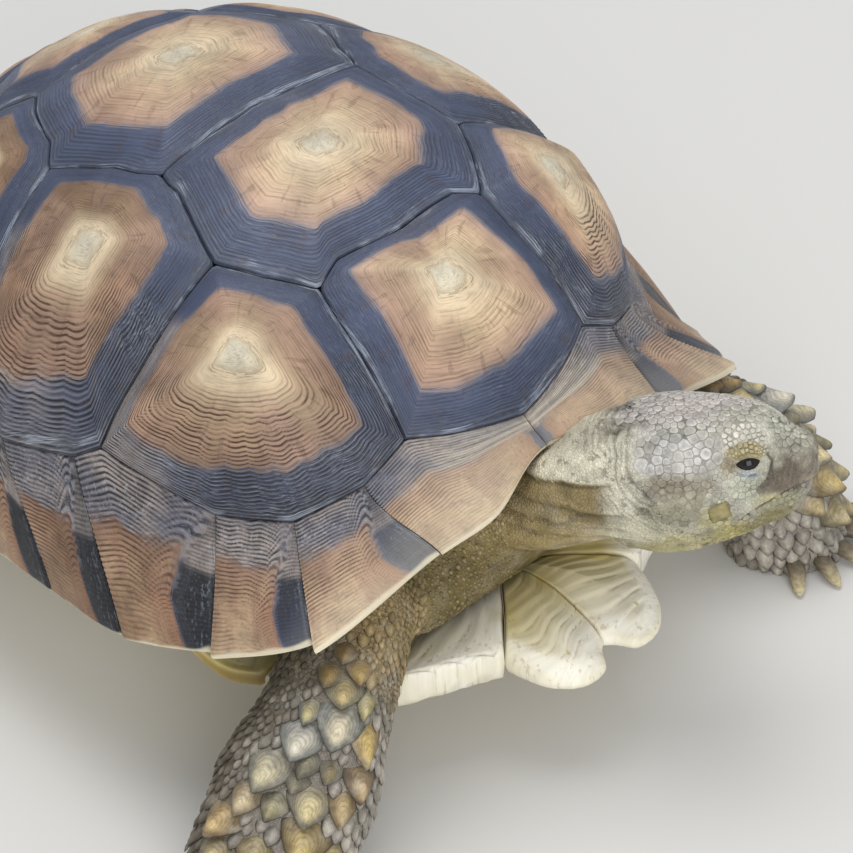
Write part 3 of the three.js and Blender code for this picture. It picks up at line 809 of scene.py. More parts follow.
class SharedEffects:
    """Node groups that several finishes use."""

    def __init__(self) -> None:
        """Build the groups once."""
        self.growth = self._growth_lines()
        self.dust = self._dust()

    @staticmethod
    def _growth_lines() -> bpy.types.ShaderNodeTree:
        """Build the fine lines, scratches and creases that follow a plate's growth.

        Returns:
            The group.
        """
        group, tree, start, end = node_group(
            "growth_lines",
            {
                "Spoke": ("Vector", (0, 0, 0)),
                "Growth": ("Float", 0.0),
                "Fineness": ("Float", 90.0),
                "Waviness": ("Float", 2.0),
            },
            {"Lines": "Float", "Scratches": "Float", "Creases": "Float"},
        )
        inputs = {0: start.outputs["Spoke"], "Scale": start.outputs["Waviness"]}
        scaled = tree.add("VectorMath", inputs, operation="SCALE")
        parts = tree.add("SeparateXYZ", {0: scaled.outputs[0]})
        outward = tree.times(start.outputs["Growth"], start.outputs["Fineness"])
        place = tree.add("CombineXYZ", {0: parts.outputs[0], 1: parts.outputs[1], 2: outward}).outputs[0]
        line = tree.noise(place, 1.0, 4.0, 0.6)
        fine = tree.noise(tree.stretched(place, (4.0, 4.0, 2.2)), 1.0, 3.0, 0.7)
        radial = tree.noise(tree.stretched(place, (5.0, 5.0, 0.05)), 1.0, 2.0, 0.5)
        scratches, creases = tree.between(fine, 0.54, 0.66), tree.between(radial, 0.58, 0.68)
        tree.fill(end, {"Lines": line, "Scratches": scratches, "Creases": creases})
        return group

    @staticmethod
    def _dust() -> bpy.types.ShaderNodeTree:
        """Build the blotches of dust, as a mask.

        Returns:
            The group.
        """
        group, tree, start, end = node_group(
            "dust",
            {"Place": ("Vector", (0, 0, 0)), "Scale": ("Float", 30.0), "Amount": ("Float", 0.5)},
            {"Mask": "Float"},
        )
        noise = tree.noise(start.outputs["Place"], start.outputs["Scale"], 6.0, 0.65)
        limit = tree.math("SUBTRACT", 0.85, tree.times(start.outputs["Amount"], 0.5))
        over = tree.math("SUBTRACT", noise, tree.math("SUBTRACT", limit, 0.2))
        tree.fill(end, {"Mask": tree.times(over, 4.0, clamp=True)})
        return group

    def lines(self, tree: Tree, growth: object, fineness: float, waviness: float) -> bpy.types.Node:
        """Place the growth lines in a material.

        Args:
            tree: the material's tree.
            growth: the plate's growth.
            fineness: how many lines there are.
            waviness: how fast they wander round the plate.

        Returns:
            The group's node.
        """
        inputs = {
            "Spoke": tree.vector_of("spoke"),
            "Growth": growth,
            "Fineness": fineness,
            "Waviness": waviness,
        }
        return tree.add("Group", inputs, node_tree=self.growth)

    def dusted(self, tree: Tree, scale: float, amount: float) -> bpy.types.NodeSocket:
        """The dust's mask, placed in a material."""
        inputs = {"Place": tree.place(), "Scale": scale, "Amount": amount}
        return tree.add("Group", inputs, node_tree=self.dust).outputs["Mask"]


@dataclass(frozen=True)
class HornFinish:
    """The carapace's horn: a pale oldest part, ringed tan growth and a slate border, with painted shade on
    the right costals and in the grooves between its ridges, and worn crests partly painted light.
    """

    stops: tuple[tuple[float, str], ...] = (
        (0.0, "d9cfb9"),
        (0.112, "d5c9ae"),
        (0.126, "b39b7b"),
        (0.145, "dcc8a8"),
        (0.34, "d6bc99"),
        (0.5, "cdaf91"),
        (0.61, "bfa08a"),
        (0.65, "a58f85"),
        (0.672, "77757f"),
        (0.695, "474f68"),
        (0.86, "3f4963"),
        (1.0, "474e60"),
    )
    # Colours of the painted shade in the ridges' grooves, on tan and on slate; the tan one also marks the
    # radial creases.
    groove: str = "4a3226"
    slate_groove: str = "181a22"
    # Colour of the crests: worn horn, partly painted light.
    crest: str = "9a9a9e"
    scratch: str = "bfc8d6"
    rust: str = "ab764c"
    rose: str = "a98975"
    drab: str = "a89b93"
    drab_dark: str = "696260"
    # Colours that the tan and the slate darken towards, mostly low on the flanks and towards the rear.
    ingrained: str = "735034"
    soot: str = "17181c"
    # Colour of the painted shade on the tan.
    shade: str = "775b43"
    cream: str = "e6dcc0"

    def build(self, effects: SharedEffects) -> bpy.types.Material:
        """Build the material.

        Args:
            effects: the shared node groups.

        Returns:
            The material.
        """
        tree = Paint("horn")
        ridge = tree.value_of("ridge")
        flank = tree.value_of("flank")
        age = tree.value_of("age")
        place = tree.place()
        lines = effects.lines(tree, tree.value_of("growth"), 120.0, 2.4)
        line = lines.outputs["Lines"]
        shift = tree.times(tree.math("SUBTRACT", line, 0.5), 0.2)
        growth = tree.math("ADD", tree.value_of("growth"), shift)
        slate = tree.between(growth, 0.66, 0.69)
        tan = tree.math("SUBTRACT", 1.0, slate)
        base = tree.ramp(growth, list(self.stops))
        # Painted shade: the tan darkens by the shade attribute, which on the right costals stands for the
        # side turned from the light, and on the marginals darkens the tan behind the first ones.
        shade = tree.value_of("shade")
        side = tree.times(shade, tree.between(growth, 0.16, 0.4))
        base = tree.over(base, tree.times(side, tan), self.shade)
        # Darker slate low on the costals' flanks and in the rear marginals' wedges.
        near_black_share = tree.times(tree.value_of("soot"), tree.times(slate, 0.85))
        base = tree.over(base, near_black_share, self.soot)
        sector = tree.between(tree.noise(tree.vector_of("spoke"), 1.1, 2.0), 0.45, 0.6)
        rosy = tree.times(sector, tree.between(growth, 0.18, 0.4, (0.0, 0.6)))
        base = tree.over(base, tree.times(rosy, tan), self.rose)
        patch = tree.between(tree.noise(place, 22.0), 0.5, 0.72)
        rusty = tree.times(patch, tree.between(tree.value_of("growth"), 0.3, 0.5, (0.0, 0.2)))
        rusty = tree.math("ADD", rusty, tree.value_of("rusty"), clamp=True)
        rusty = tree.times(rusty, tan)
        base = tree.over(base, tree.times(rusty, 0.8), self.rust)
        band = tree.math("ADD", tree.times(ridge, 0.65), tree.between(line, 0.4, 0.6, (0.0, 0.35)))
        striped = tree.blend(band, colour(self.drab_dark), colour(self.drab))
        uneven = tree.between(tree.noise(place, 26.0, 3.0), 0.35, 0.62, (0.3, 0.92))
        drab = tree.times(tree.value_of("drab"), tree.between(growth, 0.6, 0.7))
        base = tree.blend(tree.times(drab, uneven), base, striped)
        # Browner tan and darker slate low on the flanks and towards the rear.
        brown_share = tree.times(age, tree.between(tree.noise(place, 14.0), 0.3, 0.65, (0.25, 0.7)))
        base = tree.over(base, tree.times(brown_share, tan), self.ingrained)
        darkening_strength = tree.between(tree.value_of("drab"), 0.0, 1.0, (0.8, 0.1))
        base = tree.over(base, tree.times(tree.times(age, slate), darkening_strength), self.soot)
        contrasts = ((0.68, 1.24), (0.84, 1.12))
        strong, faint = (tree.grey(tree.between(line, 0.3, 0.7, span)) for span in contrasts)
        base = tree.blend(1.0, base, tree.blend(slate, strong, faint), "MULTIPLY")
        wide = tree.between(tree.noise(place, 42.0, 4.0, 0.6), 0.3, 0.7, (0.76, 1.12))
        base = tree.toned(base, wide)
        crease = tree.times(lines.outputs["Creases"], tree.between(growth, 0.2, 0.4, (0.0, 0.28)))
        base = tree.over(base, crease, self.groove)
        # Painted shade in the grooves between the growth ridges.
        dark = tree.times(tree.between(ridge, 0.6, 0.12), tree.between(flank, 0.0, 1.0, (0.3, 1.0)))
        broken = tree.between(tree.noise(place, 70.0, 4.0, 0.6), 0.36, 0.55, (0.2, 1.0))
        dark = tree.times(tree.times(dark, broken), tree.between(growth, 0.15, 0.2))
        groove = tree.blend(slate, colour(self.groove), colour(self.slate_groove))
        base = tree.blend(dark, base, groove)
        # Pale, worn crests of the ridges on the slate, partly painted light on them.
        pale = tree.times(tree.between(ridge, 0.6, 1.0), slate)
        pale = tree.times(pale, tree.times(flank, 0.3))
        base = tree.over(base, pale, self.crest)
        worn = tree.between(tree.noise(place, 30.0), 0.35, 0.6, (0.05, 0.55))
        worn = tree.times(worn, tree.between(flank, 0.0, 1.0, (0.25, 0.8)))
        scratches = tree.times(lines.outputs["Scratches"], tree.times(slate, worn))
        base = tree.over(base, scratches, self.scratch)
        at_seam = tree.times(tree.between(growth, 0.965, 0.98), tree.between(growth, 1.0, 0.99))
        white = tree.times(at_seam, tree.between(tree.noise(place, 45.0), 0.45, 0.6, (0.0, 0.45)))
        base = tree.over(base, white, self.scratch)
        base = tree.over(base, tree.times(tree.value_of("rim"), 0.85), self.cream)
        roughness = tree.between(line, 0.2, 0.8, (0.34, 0.52))
        bump = tree.bump(0.45, 0.0006, tree.math("ADD", line, tree.times(tree.noise(place, 900.0), 0.3)))
        return tree.finished(
            {"Base Color": base, "Roughness": roughness, "Specular IOR Level": 0.45, "Normal": bump}
        )


# -------------------------------------------------------------------------------- carapace


@dataclass
class Carapace:
    """The upper plates and the ring of marginals."""

    site: Site
    material: bpy.types.Material
    dome: Dome = field(default_factory=Dome)
    thickness: float = 5.0
    margin_thickness: float = 6.0
    seam_depth: float = 0.8
    seam_gap: float = 0.12
    edge_drop: float = 0.9
    seam_rows: tuple[float, ...] = (0.985, 0.993, 1.0)
    back_inset: float = 1.2
    areola_share: float = 0.22
    areola_mark: float = 0.125
    growth_power: float = 2.2
    ridges: int = 30
    ridge_crest: float = 0.7
    ridge_height: float = 0.6
    pleats: int = 13
    pleat_depth: float = 0.016
    rows_for_ridge: int = 4
    margin_ridges: int = 33
    margin_rows: int = 132
    margin_columns: int = 36
    inner_step: int = 4
    sectors: int = 156
    vertebral_rise: float = 3.0
    costal_rises: tuple[float, ...] = (9.0, 4.0, 3.0, 3.0)
    seams: dict[str, tuple[float, float]] = field(
        default_factory=lambda: {
            "v1v2c1": (47.8, -107.3),
            "v2c1c2": (73.3, -66.7),
            "v2v3c2": (58.6, -13.2),
            "v3c2c3": (82, 42.1),
            "v3v4c3": (50.4, 96.9),
            "v4c3c4": (68, 124),
            "v4v5c4": (36, 153),
        }
    )
    vertebral_areolas: tuple[tuple[float, float], ...] = ((0, -132), (0, -54), (0, 46), (0, 122), (0, 176))
    costal_areolas: tuple[tuple[float, float], ...] = ((88.9, -100.1), (98, -11.7), (88, 84), (66, 143))
    costal_seams: tuple[float, ...] = (0.7, 3.7, 5.7, 7.7, 10.3)

    def corner(self, name: str, side: int = 1) -> np.ndarray:
        """Chart place of a corner where seams meet."""
        spot = self.dome.chart(self.seams[name])
        return spot * (side, 1)

    def vertebral_outlines(self) -> list[list[np.ndarray]]:
        """Corners of the vertebral plates in the chart.

        Returns:
            Each plate's corners from the front plate on, going round once.
        """
        front, rear = self.costal_seams[0], self.costal_seams[-1]
        first = [self.dome.seam_spot(at) for at in (-front, 0, front)]
        last = [self.dome.seam_spot(at) for at in (rear, 11, TAIL_PLATE, 2 * TAIL_PLATE - 11, -rear)]
        names = list(self.seams)
        outlines = [[*first, self.corner(names[0]), self.corner(names[0], -1)]]
        for start in (0, 2, 4):
            left = [self.corner(name) for name in names[start : start + 3]]
            right = [self.corner(name, -1) for name in reversed(names[start : start + 3])]
            outlines.append(left + right)
        outlines.append([*last, self.corner(names[6], -1), self.corner(names[6])])
        return outlines

    def costal_outlines(self) -> list[list[np.ndarray]]:
        """Corners of the left costal plates in the chart.

        Returns:
            Each plate's corners, from the front plate on.
        """
        inner = (
            ("v2c1c2", "v1v2c1"),
            ("v3c2c3", "v2v3c2", "v2c1c2"),
            ("v4c3c4", "v3v4c3", "v3c2c3"),
            ("v4v5c4", "v4c3c4"),
        )
        outlines = []
        for index, names in enumerate(inner):
            start, end = self.costal_seams[index], self.costal_seams[index + 1]
            between = [at for at in range(TAIL_PLATE) if start < at < end]
            lower = [self.dome.seam_spot(at) for at in (start, *between, end)]
            outlines.append(lower + [self.corner(name) for name in names])
        return outlines

    def edge_spots(self, corners: list[np.ndarray]) -> np.ndarray:
        """Evenly spread chart places along an outline, keeping to the foot's circle between foot corners.

        Args:
            corners: chart places of the outline's corners, in order.

        Returns:
            As many places as the plate has sectors.
        """
        legs = []
        for index, start in enumerate(corners):
            end = corners[(index + 1) % len(corners)]
            t = np.linspace(0, 1, 40, endpoint=False)[:, None]
            leg = start * (1 - t) + end * t
            if min(np.linalg.norm(start), np.linalg.norm(end)) > 0.999:
                leg = unit(leg)
            legs.append(leg)
        path = np.concatenate(legs)
        return evenly(path + self.wander(path), self.sectors)

    @staticmethod
    def wander(spots: np.ndarray) -> np.ndarray:
        """A small unevenness of the seams, the same for both plates at a seam.

        Args:
            spots: chart places.

        Returns:
            How far each place moves on the chart.
        """
        keep = smooth(1 - np.linalg.norm(spots, axis=-1), 0.0, 0.08)[..., None]
        shift = np.stack([ripple(spots, 0.22, 5), ripple(spots, 0.22, 6)], axis=-1)
        return shift * 0.0028 * keep

    def lift(self, share: np.ndarray, rise: float) -> np.ndarray:
        """Height over the vault, from the areola to the seam."""
        fall = np.maximum((share - self.areola_share) / (1 - self.areola_share), 0) ** self.growth_power
        return rise - fall * (rise + self.seam_depth)

    def ridge_wave(self, growth: np.ndarray) -> np.ndarray:
        """Profile of the growth ridges, from 0 to 1, with none on the areola."""
        wave = ridge_profile(growth * self.ridges / (1 - self.areola_share), self.ridge_crest)
        return wave * smooth(growth, self.areola_mark - 0.02, self.areola_mark + 0.02)

    def growth(self, share: np.ndarray, edge: np.ndarray, warp: np.ndarray, power: float) -> np.ndarray:
        """Growth over an upper plate: round near the areola, and along the seams further out.

        Args:
            share: shares of the way from the areola to the seam.
            edge: the seam's chart places, about the areola.
            warp: the rings' unevenness.
            power: how fast the rings turn round inwards.

        Returns:
            The growth, from 0 to 1.
        """
        reach = np.linalg.norm(edge, axis=-1)
        window = np.exp(-np.linspace(-2, 2, 21) ** 2)
        even = np.convolve(np.concatenate([reach[-10:], reach, reach[:10]]), window / window.sum(), "valid")
        return share * (reach / even) ** (power * (1 - share)) + warp * self.free(share)

    @staticmethod
    def free(share: np.ndarray) -> np.ndarray:
        """How freely rings wander: not on the areola and not at the seam."""
        return smooth(share, 0.1, 0.4) * smooth(1 - share, 0, 0.1)

    def upper_plate(
        self, name: str, corners: list[np.ndarray], plan: tuple[float, float], rise: float, seed: int
    ) -> bpy.types.Object:
        """Build one vertebral or costal plate as a closed piece.

        Args:
            name: the CAD node that it stands for.
            corners: chart places of its corners, in order.
            plan: its areola's plan place.
            rise: how far the areola stands over the vault.
            seed: picks its small unevenness.

        Returns:
            The piece.
        """
        centre = self.dome.chart(plan)
        edge = self.edge_spots(corners)
        flat_edge = self.dome.upper(edge, np.zeros(len(edge)))
        width = np.linalg.norm(flat_edge - self.dome.upper(centre, np.zeros(())), axis=-1)
        edge = edge + (centre - edge) * (self.seam_gap / width)[:, None]
        inner_rows = np.linspace(0.04, self.areola_share, 5, endpoint=False)
        steps = self.ridges * self.rows_for_ridge
        outer_rows = np.linspace(self.areola_share, self.seam_rows[0], steps, endpoint=False)
        shares = np.concatenate([inner_rows, outer_rows, self.seam_rows])
        spots = centre + (edge - centre) * shares[:, None, None]
        angle = np.arctan2(*(edge - centre).T)
        spoke = np.stack([np.cos(angle), np.sin(angle)], axis=-1)
        ring = np.broadcast_to(spoke, spots.shape)
        share = np.broadcast_to(shares[:, None], spots.shape[:2])
        place = np.concatenate([ring * 1.0, share[..., None] * 2.0], axis=-1)
        warp = ripple(place, 2.2, seed) * 0.014 + ripple(place, 0.8, seed + 1) * 0.007
        warp = warp + ripple(place, 0.25, seed + 3) * 0.0022
        outward = np.linalg.norm(spots, axis=-1) - np.linalg.norm(centre)
        flank = smooth(outward, -0.02, 0.16) * smooth(share, 0.15, 0.4)
        fold = np.abs(np.sin(angle * self.pleats + 1.2 * ripple(place, 3.0, seed + 6)))
        vertebral = plan[0] == 0
        costal = 0.2 if vertebral else 1.0
        warp = warp - self.pleat_depth * costal * fold * flank * smooth(share, 0.2, 0.5)
        growth = self.growth(share, edge - centre, warp, 0.4 + costal)
        rearward = unit(np.array([0.2, centre[0]]))
        drab = costal * smooth(spoke @ rearward, 0.55, 0.95)[None, :] * np.ones_like(share)
        flank = np.maximum(flank * (0.3 if vertebral else 1.0), 0.12 * smooth(share, 0.2, 0.4))
        rings = np.stack([share * 0, share * 0, growth * 2], axis=-1)
        strength = np.clip(0.75 + 0.3 * ripple(rings, 0.13, seed + 4) + 0.4 * flank, 0.25, 1)
        growth = growth + 0.006 * ripple(rings, 0.3, seed + 5) * self.free(share)
        wave = 1 - (1 - self.ridge_wave(growth)) * strength
        lift = self.lift(share, rise) + (wave - 0.5) * self.ridge_height * (0.25 + 0.75 * flank)
        lift = lift + ripple(place, 1.3, seed + 2) * 0.35 * smooth(1 - share, 0, 0.12)
        lift = lift - self.edge_drop * smooth(share, self.seam_rows[0] - 0.003, 1.0)
        front = self.dome.upper(spots, lift)
        inner_edge = centre + (edge - centre) * (1 - self.back_inset / width)[:, None]
        back_spots = np.stack([inner_edge, centre + (inner_edge - centre) * 0.5])
        back = self.dome.upper(back_spots, np.full(back_spots.shape[:2], -self.thickness))
        rows = np.concatenate([front, back])
        colour_growth = growth + self.border_bias(spoke, share, seed) - 0.07 * drab * smooth(share, 0.3, 0.6)
        behind = smooth(front[..., 1], -70, 10)
        low = smooth((150 - front[..., 2]) / 40)
        drab = np.maximum(drab, 0.9 * low * smooth(front[..., 1], -95, -50))
        # Darker low on the flanks and towards the rear.
        age = smooth((178 - front[..., 2]) / 60) * smooth(np.abs(front[..., 0]) / 60 - 0.6)
        age = age * (0.45 + 0.5 * behind)
        # Painted shade: the right costals, on the side turned from the light, are darker than the left ones,
        # and more so towards the rear.
        painted_side_shade = 0.0 if vertebral else 0.6 + 0.25 * behind if plan[0] < 0 else 0.05
        top = self.dome.upper(centre, np.array(self.lift(0.0, rise)))
        ends = np.stack([top, self.dome.upper(centre, np.array(-self.thickness))])
        seeded = np.concatenate([ring, share[..., None] * 0.0 + seed * 0.37], axis=-1)
        attributes = {
            "growth": (colour_growth, 0.0, 1.0),
            "ridge": (wave, 0.0, 0.0),
            "flank": (flank, 0.0, 0.0),
            "spoke": (seeded, (0, 0, 0), (0, 0, 0)),
            "drab": (drab, 0.0, 0.0),
            "age": (age, 0.0, 0.0),
            "shade": (share * 0 + painted_side_shade, 0.0, 0.0),
            "soot": (0.45 * flank * (1 - drab) * (not vertebral), 0.0, 0.0),
        }
        points, faces, values = closed_rings(rows, ends, attributes)
        piece = add_mesh(name, self.site.metres(points), faces, values)
        return finish_piece(piece, self.material, [name])

    @staticmethod
    def border_bias(spoke: np.ndarray, share: np.ndarray, seed: int) -> np.ndarray:
        """How much earlier or later the slate border starts in each direction of a plate.

        Args:
            spoke: directions from the areola.
            share: shares of the way from the areola to the seam.
            seed: picks the unevenness.

        Returns:
            What is added to the growth.
        """
        wide = ripple(np.concatenate([spoke, np.full((len(spoke), 1), 0.5)], axis=-1), 2.6, seed + 7)
        small = ripple(np.concatenate([spoke * 3, np.full((len(spoke), 1), 0.5)], axis=-1), 2.0, seed + 8)
        return (wide * 0.045 + small * 0.012)[None, :] * smooth(share, 0.3, 0.55)

    def marginal_surface(
        self, at: np.ndarray, drop: np.ndarray, out: np.ndarray
    ) -> tuple[np.ndarray, np.ndarray]:
        """Points and outward directions of the marginal ring at unbroken ring places.

        Args:
            at: ring places, which may run past the tail plate's middle onto the right half.
            drop: shares of the way down from the seam.
            out: how far the rim stands out there.

        Returns:
            The points and the directions.
        """

        def point(place: np.ndarray, low: np.ndarray, tooth: np.ndarray) -> np.ndarray:
            """Point at a ring place that may lie on the right half."""
            folded = np.where(place > TAIL_PLATE, place - 2 * TAIL_PLATE, place)
            return self.dome.margin(folded, low, tooth)

        step = 0.02
        still = np.zeros_like(out)
        along = point(at + step, drop, still) - point(at - step, drop, still)
        low = np.minimum(drop + step, 1)
        down = point(at, low, still) - point(at, low - 2 * step, still)
        return point(at, drop, out), unit(np.cross(down, along))

    def marginal_growth(
        self, along: np.ndarray, drop: np.ndarray, both_sides: bool, breadth: float, seed: int
    ) -> tuple[np.ndarray, ...]:
        """Growth, ridge coordinate, flank, rust and dark wedge of a marginal plate.

        Args:
            along: shares of the way from its front edge to its rear edge.
            drop: shares of the way down from its seam.
            both_sides: whether it has a dark wedge on both edges, as the tail plate has.
            breadth: how broad the wedge is, 1 for most plates.
            seed: picks its small unevenness.

        Returns:
            The five values at each point.
        """
        if both_sides:
            along = 0.5 - np.abs(along - 0.5)
        place = np.stack([along * 2, drop * 2, np.zeros_like(drop)], axis=-1)
        uneven = ripple(place, 1.1, seed)
        wedge = np.interp(drop, (0, 0.15, 0.4, 0.7, 0.9, 1), (0.0, 0.05, 0.2, 0.31, 0.28, 0.22))
        wedge = wedge * (1 + 0.1 * uneven) * breadth
        slate = 0.735
        side = slate - 1.2 * (along - wedge)
        side = np.where(along < wedge, slate + 0.19 * smooth((wedge - along) / 0.08), side)
        side = side + 0.045 * (1 - smooth(along, 0.012, 0.03))
        shifted = drop + 0.04 * ripple(place, 1.4, seed + 3) + 0.04 * smooth(along, 0.4, 1.0)
        top = np.interp(shifted, (0, 0.06, 0.25, 0.36, 0.5, 1.1), (0.8, 0.75, 0.73, 0.655, 0.52, 0.26))
        growth = np.maximum(side, top)
        past = np.maximum(along - wedge, 0)
        ridge = 1 - drop + 0.3 * np.exp(-past / 0.11) + 0.006 * ripple(place, 0.5, seed + 4)
        flank = smooth(along - wedge, -0.03, 0.05) * smooth(1 - drop, 0.05, 0.45)
        rusty = np.exp(-past / 0.13) * smooth(drop, 0.4, 0.75)
        return growth, ridge, 0.12 + 0.63 * flank, rusty, smooth(wedge - along, -0.04, 0.005)

    def marginal_plate(
        self, name: str, start: float, end: float, tooth: float, side: Side, seed: int
    ) -> bpy.types.Object:
        """Build one plate of the marginal ring as a closed piece.

        Args:
            name: the CAD node that it stands for.
            start: ring place of its front edge.
            end: ring place of its rear edge.
            tooth: how far its rear corner stands out.
            side: the animal's side that it is on.
            seed: picks its small unevenness.

        Returns:
            The piece.
        """
        columns, step = self.margin_columns, self.inner_step
        corners = self.dome.rim(np.array([start, min(end, TAIL_PLATE)]))
        length = float(np.linalg.norm(corners[1] - corners[0]))
        inset = self.seam_gap / length
        along = np.linspace(inset, 1 - inset, columns)
        drops = np.linspace(0.004, 1, self.margin_rows + 1)
        drop, share = np.meshgrid(drops, along, indexing="ij")
        at = start + (end - start) * share
        out = tooth * share**2
        spot, normal = self.marginal_surface(at, drop, out)
        height = float(np.linalg.norm(spot[-1, columns // 2] - spot[0, columns // 2]))
        both = end > TAIL_PLATE
        breadth = 0.05 if end == 1 else 0.6 if both else 1.0
        growth, ridge, flank, rusty, wedge = self.marginal_growth(share, drop, both, breadth, seed)
        fresh = 1 - smooth(spot[..., 1], -200, -165)
        flank = flank * (1 - 0.65 * fresh)
        wave = ridge_profile(ridge * self.margin_ridges, self.ridge_crest)
        half = self.margin_thickness / 2
        rounding = half - np.sqrt(np.maximum(half**2 - np.maximum(half - (1 - drop) * height, 0) ** 2, 0))
        edge = np.minimum(np.minimum(share, 1 - share) * length, drop * height)
        groove = self.edge_drop * (1 - smooth(edge, 0, 1.1))
        depth = self.seam_depth * (1 - smooth(drop * 4)) + rounding + groove
        relief = (wave - 0.5) * self.ridge_height * flank * smooth(1 - drop, 0, 0.08)
        outer = spot + normal * (relief - depth)[..., None]
        inner = (spot - normal * (self.margin_thickness - rounding)[..., None])[::-1][::step]
        points = np.concatenate([outer, inner]).reshape(-1, 3)
        points, faces = on_side(points, self.margin_faces(points, len(outer), len(inner)), side)
        across = np.stack([share, np.zeros_like(share), np.zeros_like(share)], axis=-1) * 2.0
        lip = 1.0 + 1.3 * np.exp(0.5 * ripple(across, 0.8, seed + 6))
        rim = 1 - smooth((1 - drop) * height, 0.6, lip)
        fine = ripple(np.stack([share, drop * 14, share * 0], axis=-1), 0.9, seed + 8)
        bright = fresh * np.maximum(smooth(0.42 - drop, 0, 0.1), 0.3 * wedge)
        rim = np.maximum(rim, bright * np.clip(0.4 + 0.35 * fine, 0.16, 0.75))
        rim = np.maximum(rim, 0.2 * fresh)
        # Darker towards the rear, with a darker tan and wedge behind the first marginals.
        age = smooth(spot[..., 1], -185, -95)
        shade = 0.25 * (1 - wedge) * smooth(spot[..., 1], -235, -190)
        soot = wedge * smooth(spot[..., 1], -205, -150)
        drab = 1.2 * smooth(0.5 - drop, 0, 0.1)
        through = {"growth": growth, "rim": rim, "age": age, "shade": shade, "soot": soot}
        outside = {"ridge": (wave, 1.0), "flank": (flank, 0.0), "rusty": (rusty, 0.0), "drab": (drab, 0.0)}
        values = {key: np.concatenate([value, value[::-1][::step]]).ravel() for key, value in through.items()}
        for key, (value, inside) in outside.items():
            values[key] = np.concatenate([value, np.full(inner.shape[:2], inside)]).ravel()
        spoke = across * 2 + (0, 1, 0) * drop[..., None] * 2
        values["spoke"] = np.concatenate([spoke, inner * 0]).reshape(-1, 3)
        piece = add_mesh(name, self.site.metres(points), faces, values)
        return finish_piece(piece, self.material, [name])

    def margin_faces(self, points: np.ndarray, outer: int, inner: int) -> list[list[int]]:
        """Faces of a closed marginal plate.

        Args:
            points: its points, row by row, down its outside and then up its inside.
            outer: number of rows outside.
            inner: number of rows inside, one for every few outside.

        Returns:
            The faces, pointing out.
        """
        columns, step, total = self.margin_columns, self.inner_step, outer + inner
        quads = grid_faces(total, columns, False)
        closing = grid_faces(2, columns, False)
        closing = np.where(closing < columns, closing + (total - 1) * columns, closing - columns)
        quads = np.concatenate([quads, closing])
        faces = face_outwards(points, quads)
        turned = not np.array_equal(faces, quads)
        caps = []
        for column in (0, columns - 1):
            for index in range(inner - 1):
                outside = [row * columns + column for row in range(index * step, (index + 1) * step + 1)]
                far = (total - 1 - index) * columns + column
                cap = [*outside, far - columns, far]
                caps.append(cap if (column == 0) == turned else cap[::-1])
        return faces.tolist() + caps

    def build(self) -> None:
        """Build every plate."""
        for index, corners in enumerate(self.vertebral_outlines()):
            name = f"vertebral_{index + 1}"
            areola = self.vertebral_areolas[index]
            self.upper_plate(name, corners, areola, self.vertebral_rise, 100 + index * 10)
        for side in Side:
            for index, corners in enumerate(self.costal_outlines()):
                name = f"costal_{side.word}_{index + 1}"
                placed = [corner * (side.value, 1) for corner in corners]
                x, y = self.costal_areolas[index]
                seed = 200 + index * 10 + side.value * 3
                self.upper_plate(name, placed, (x * side.value, y), self.costal_rises[index], seed)
            teeth = {row.at: row.tooth for row in RING}
            for end in range(1, TAIL_PLATE):
                name = f"marginal_{side.word}_{end}"
                self.marginal_plate(name, end - 1, end, teeth[end], side, 300 + end * 10 + side.value * 3)
        self.marginal_plate("supracaudal", TAIL_PLATE - 1, TAIL_PLATE + 1, 0.0, Side.LEFT, 500)


# -------------------------------------------------------------------------------- studio


@dataclass(frozen=True)
class Lamp:
    """A wide lamp: its place and size in metres and its power in watts."""

    name: str
    place: tuple[float, float, float]
    size: float
    power: float


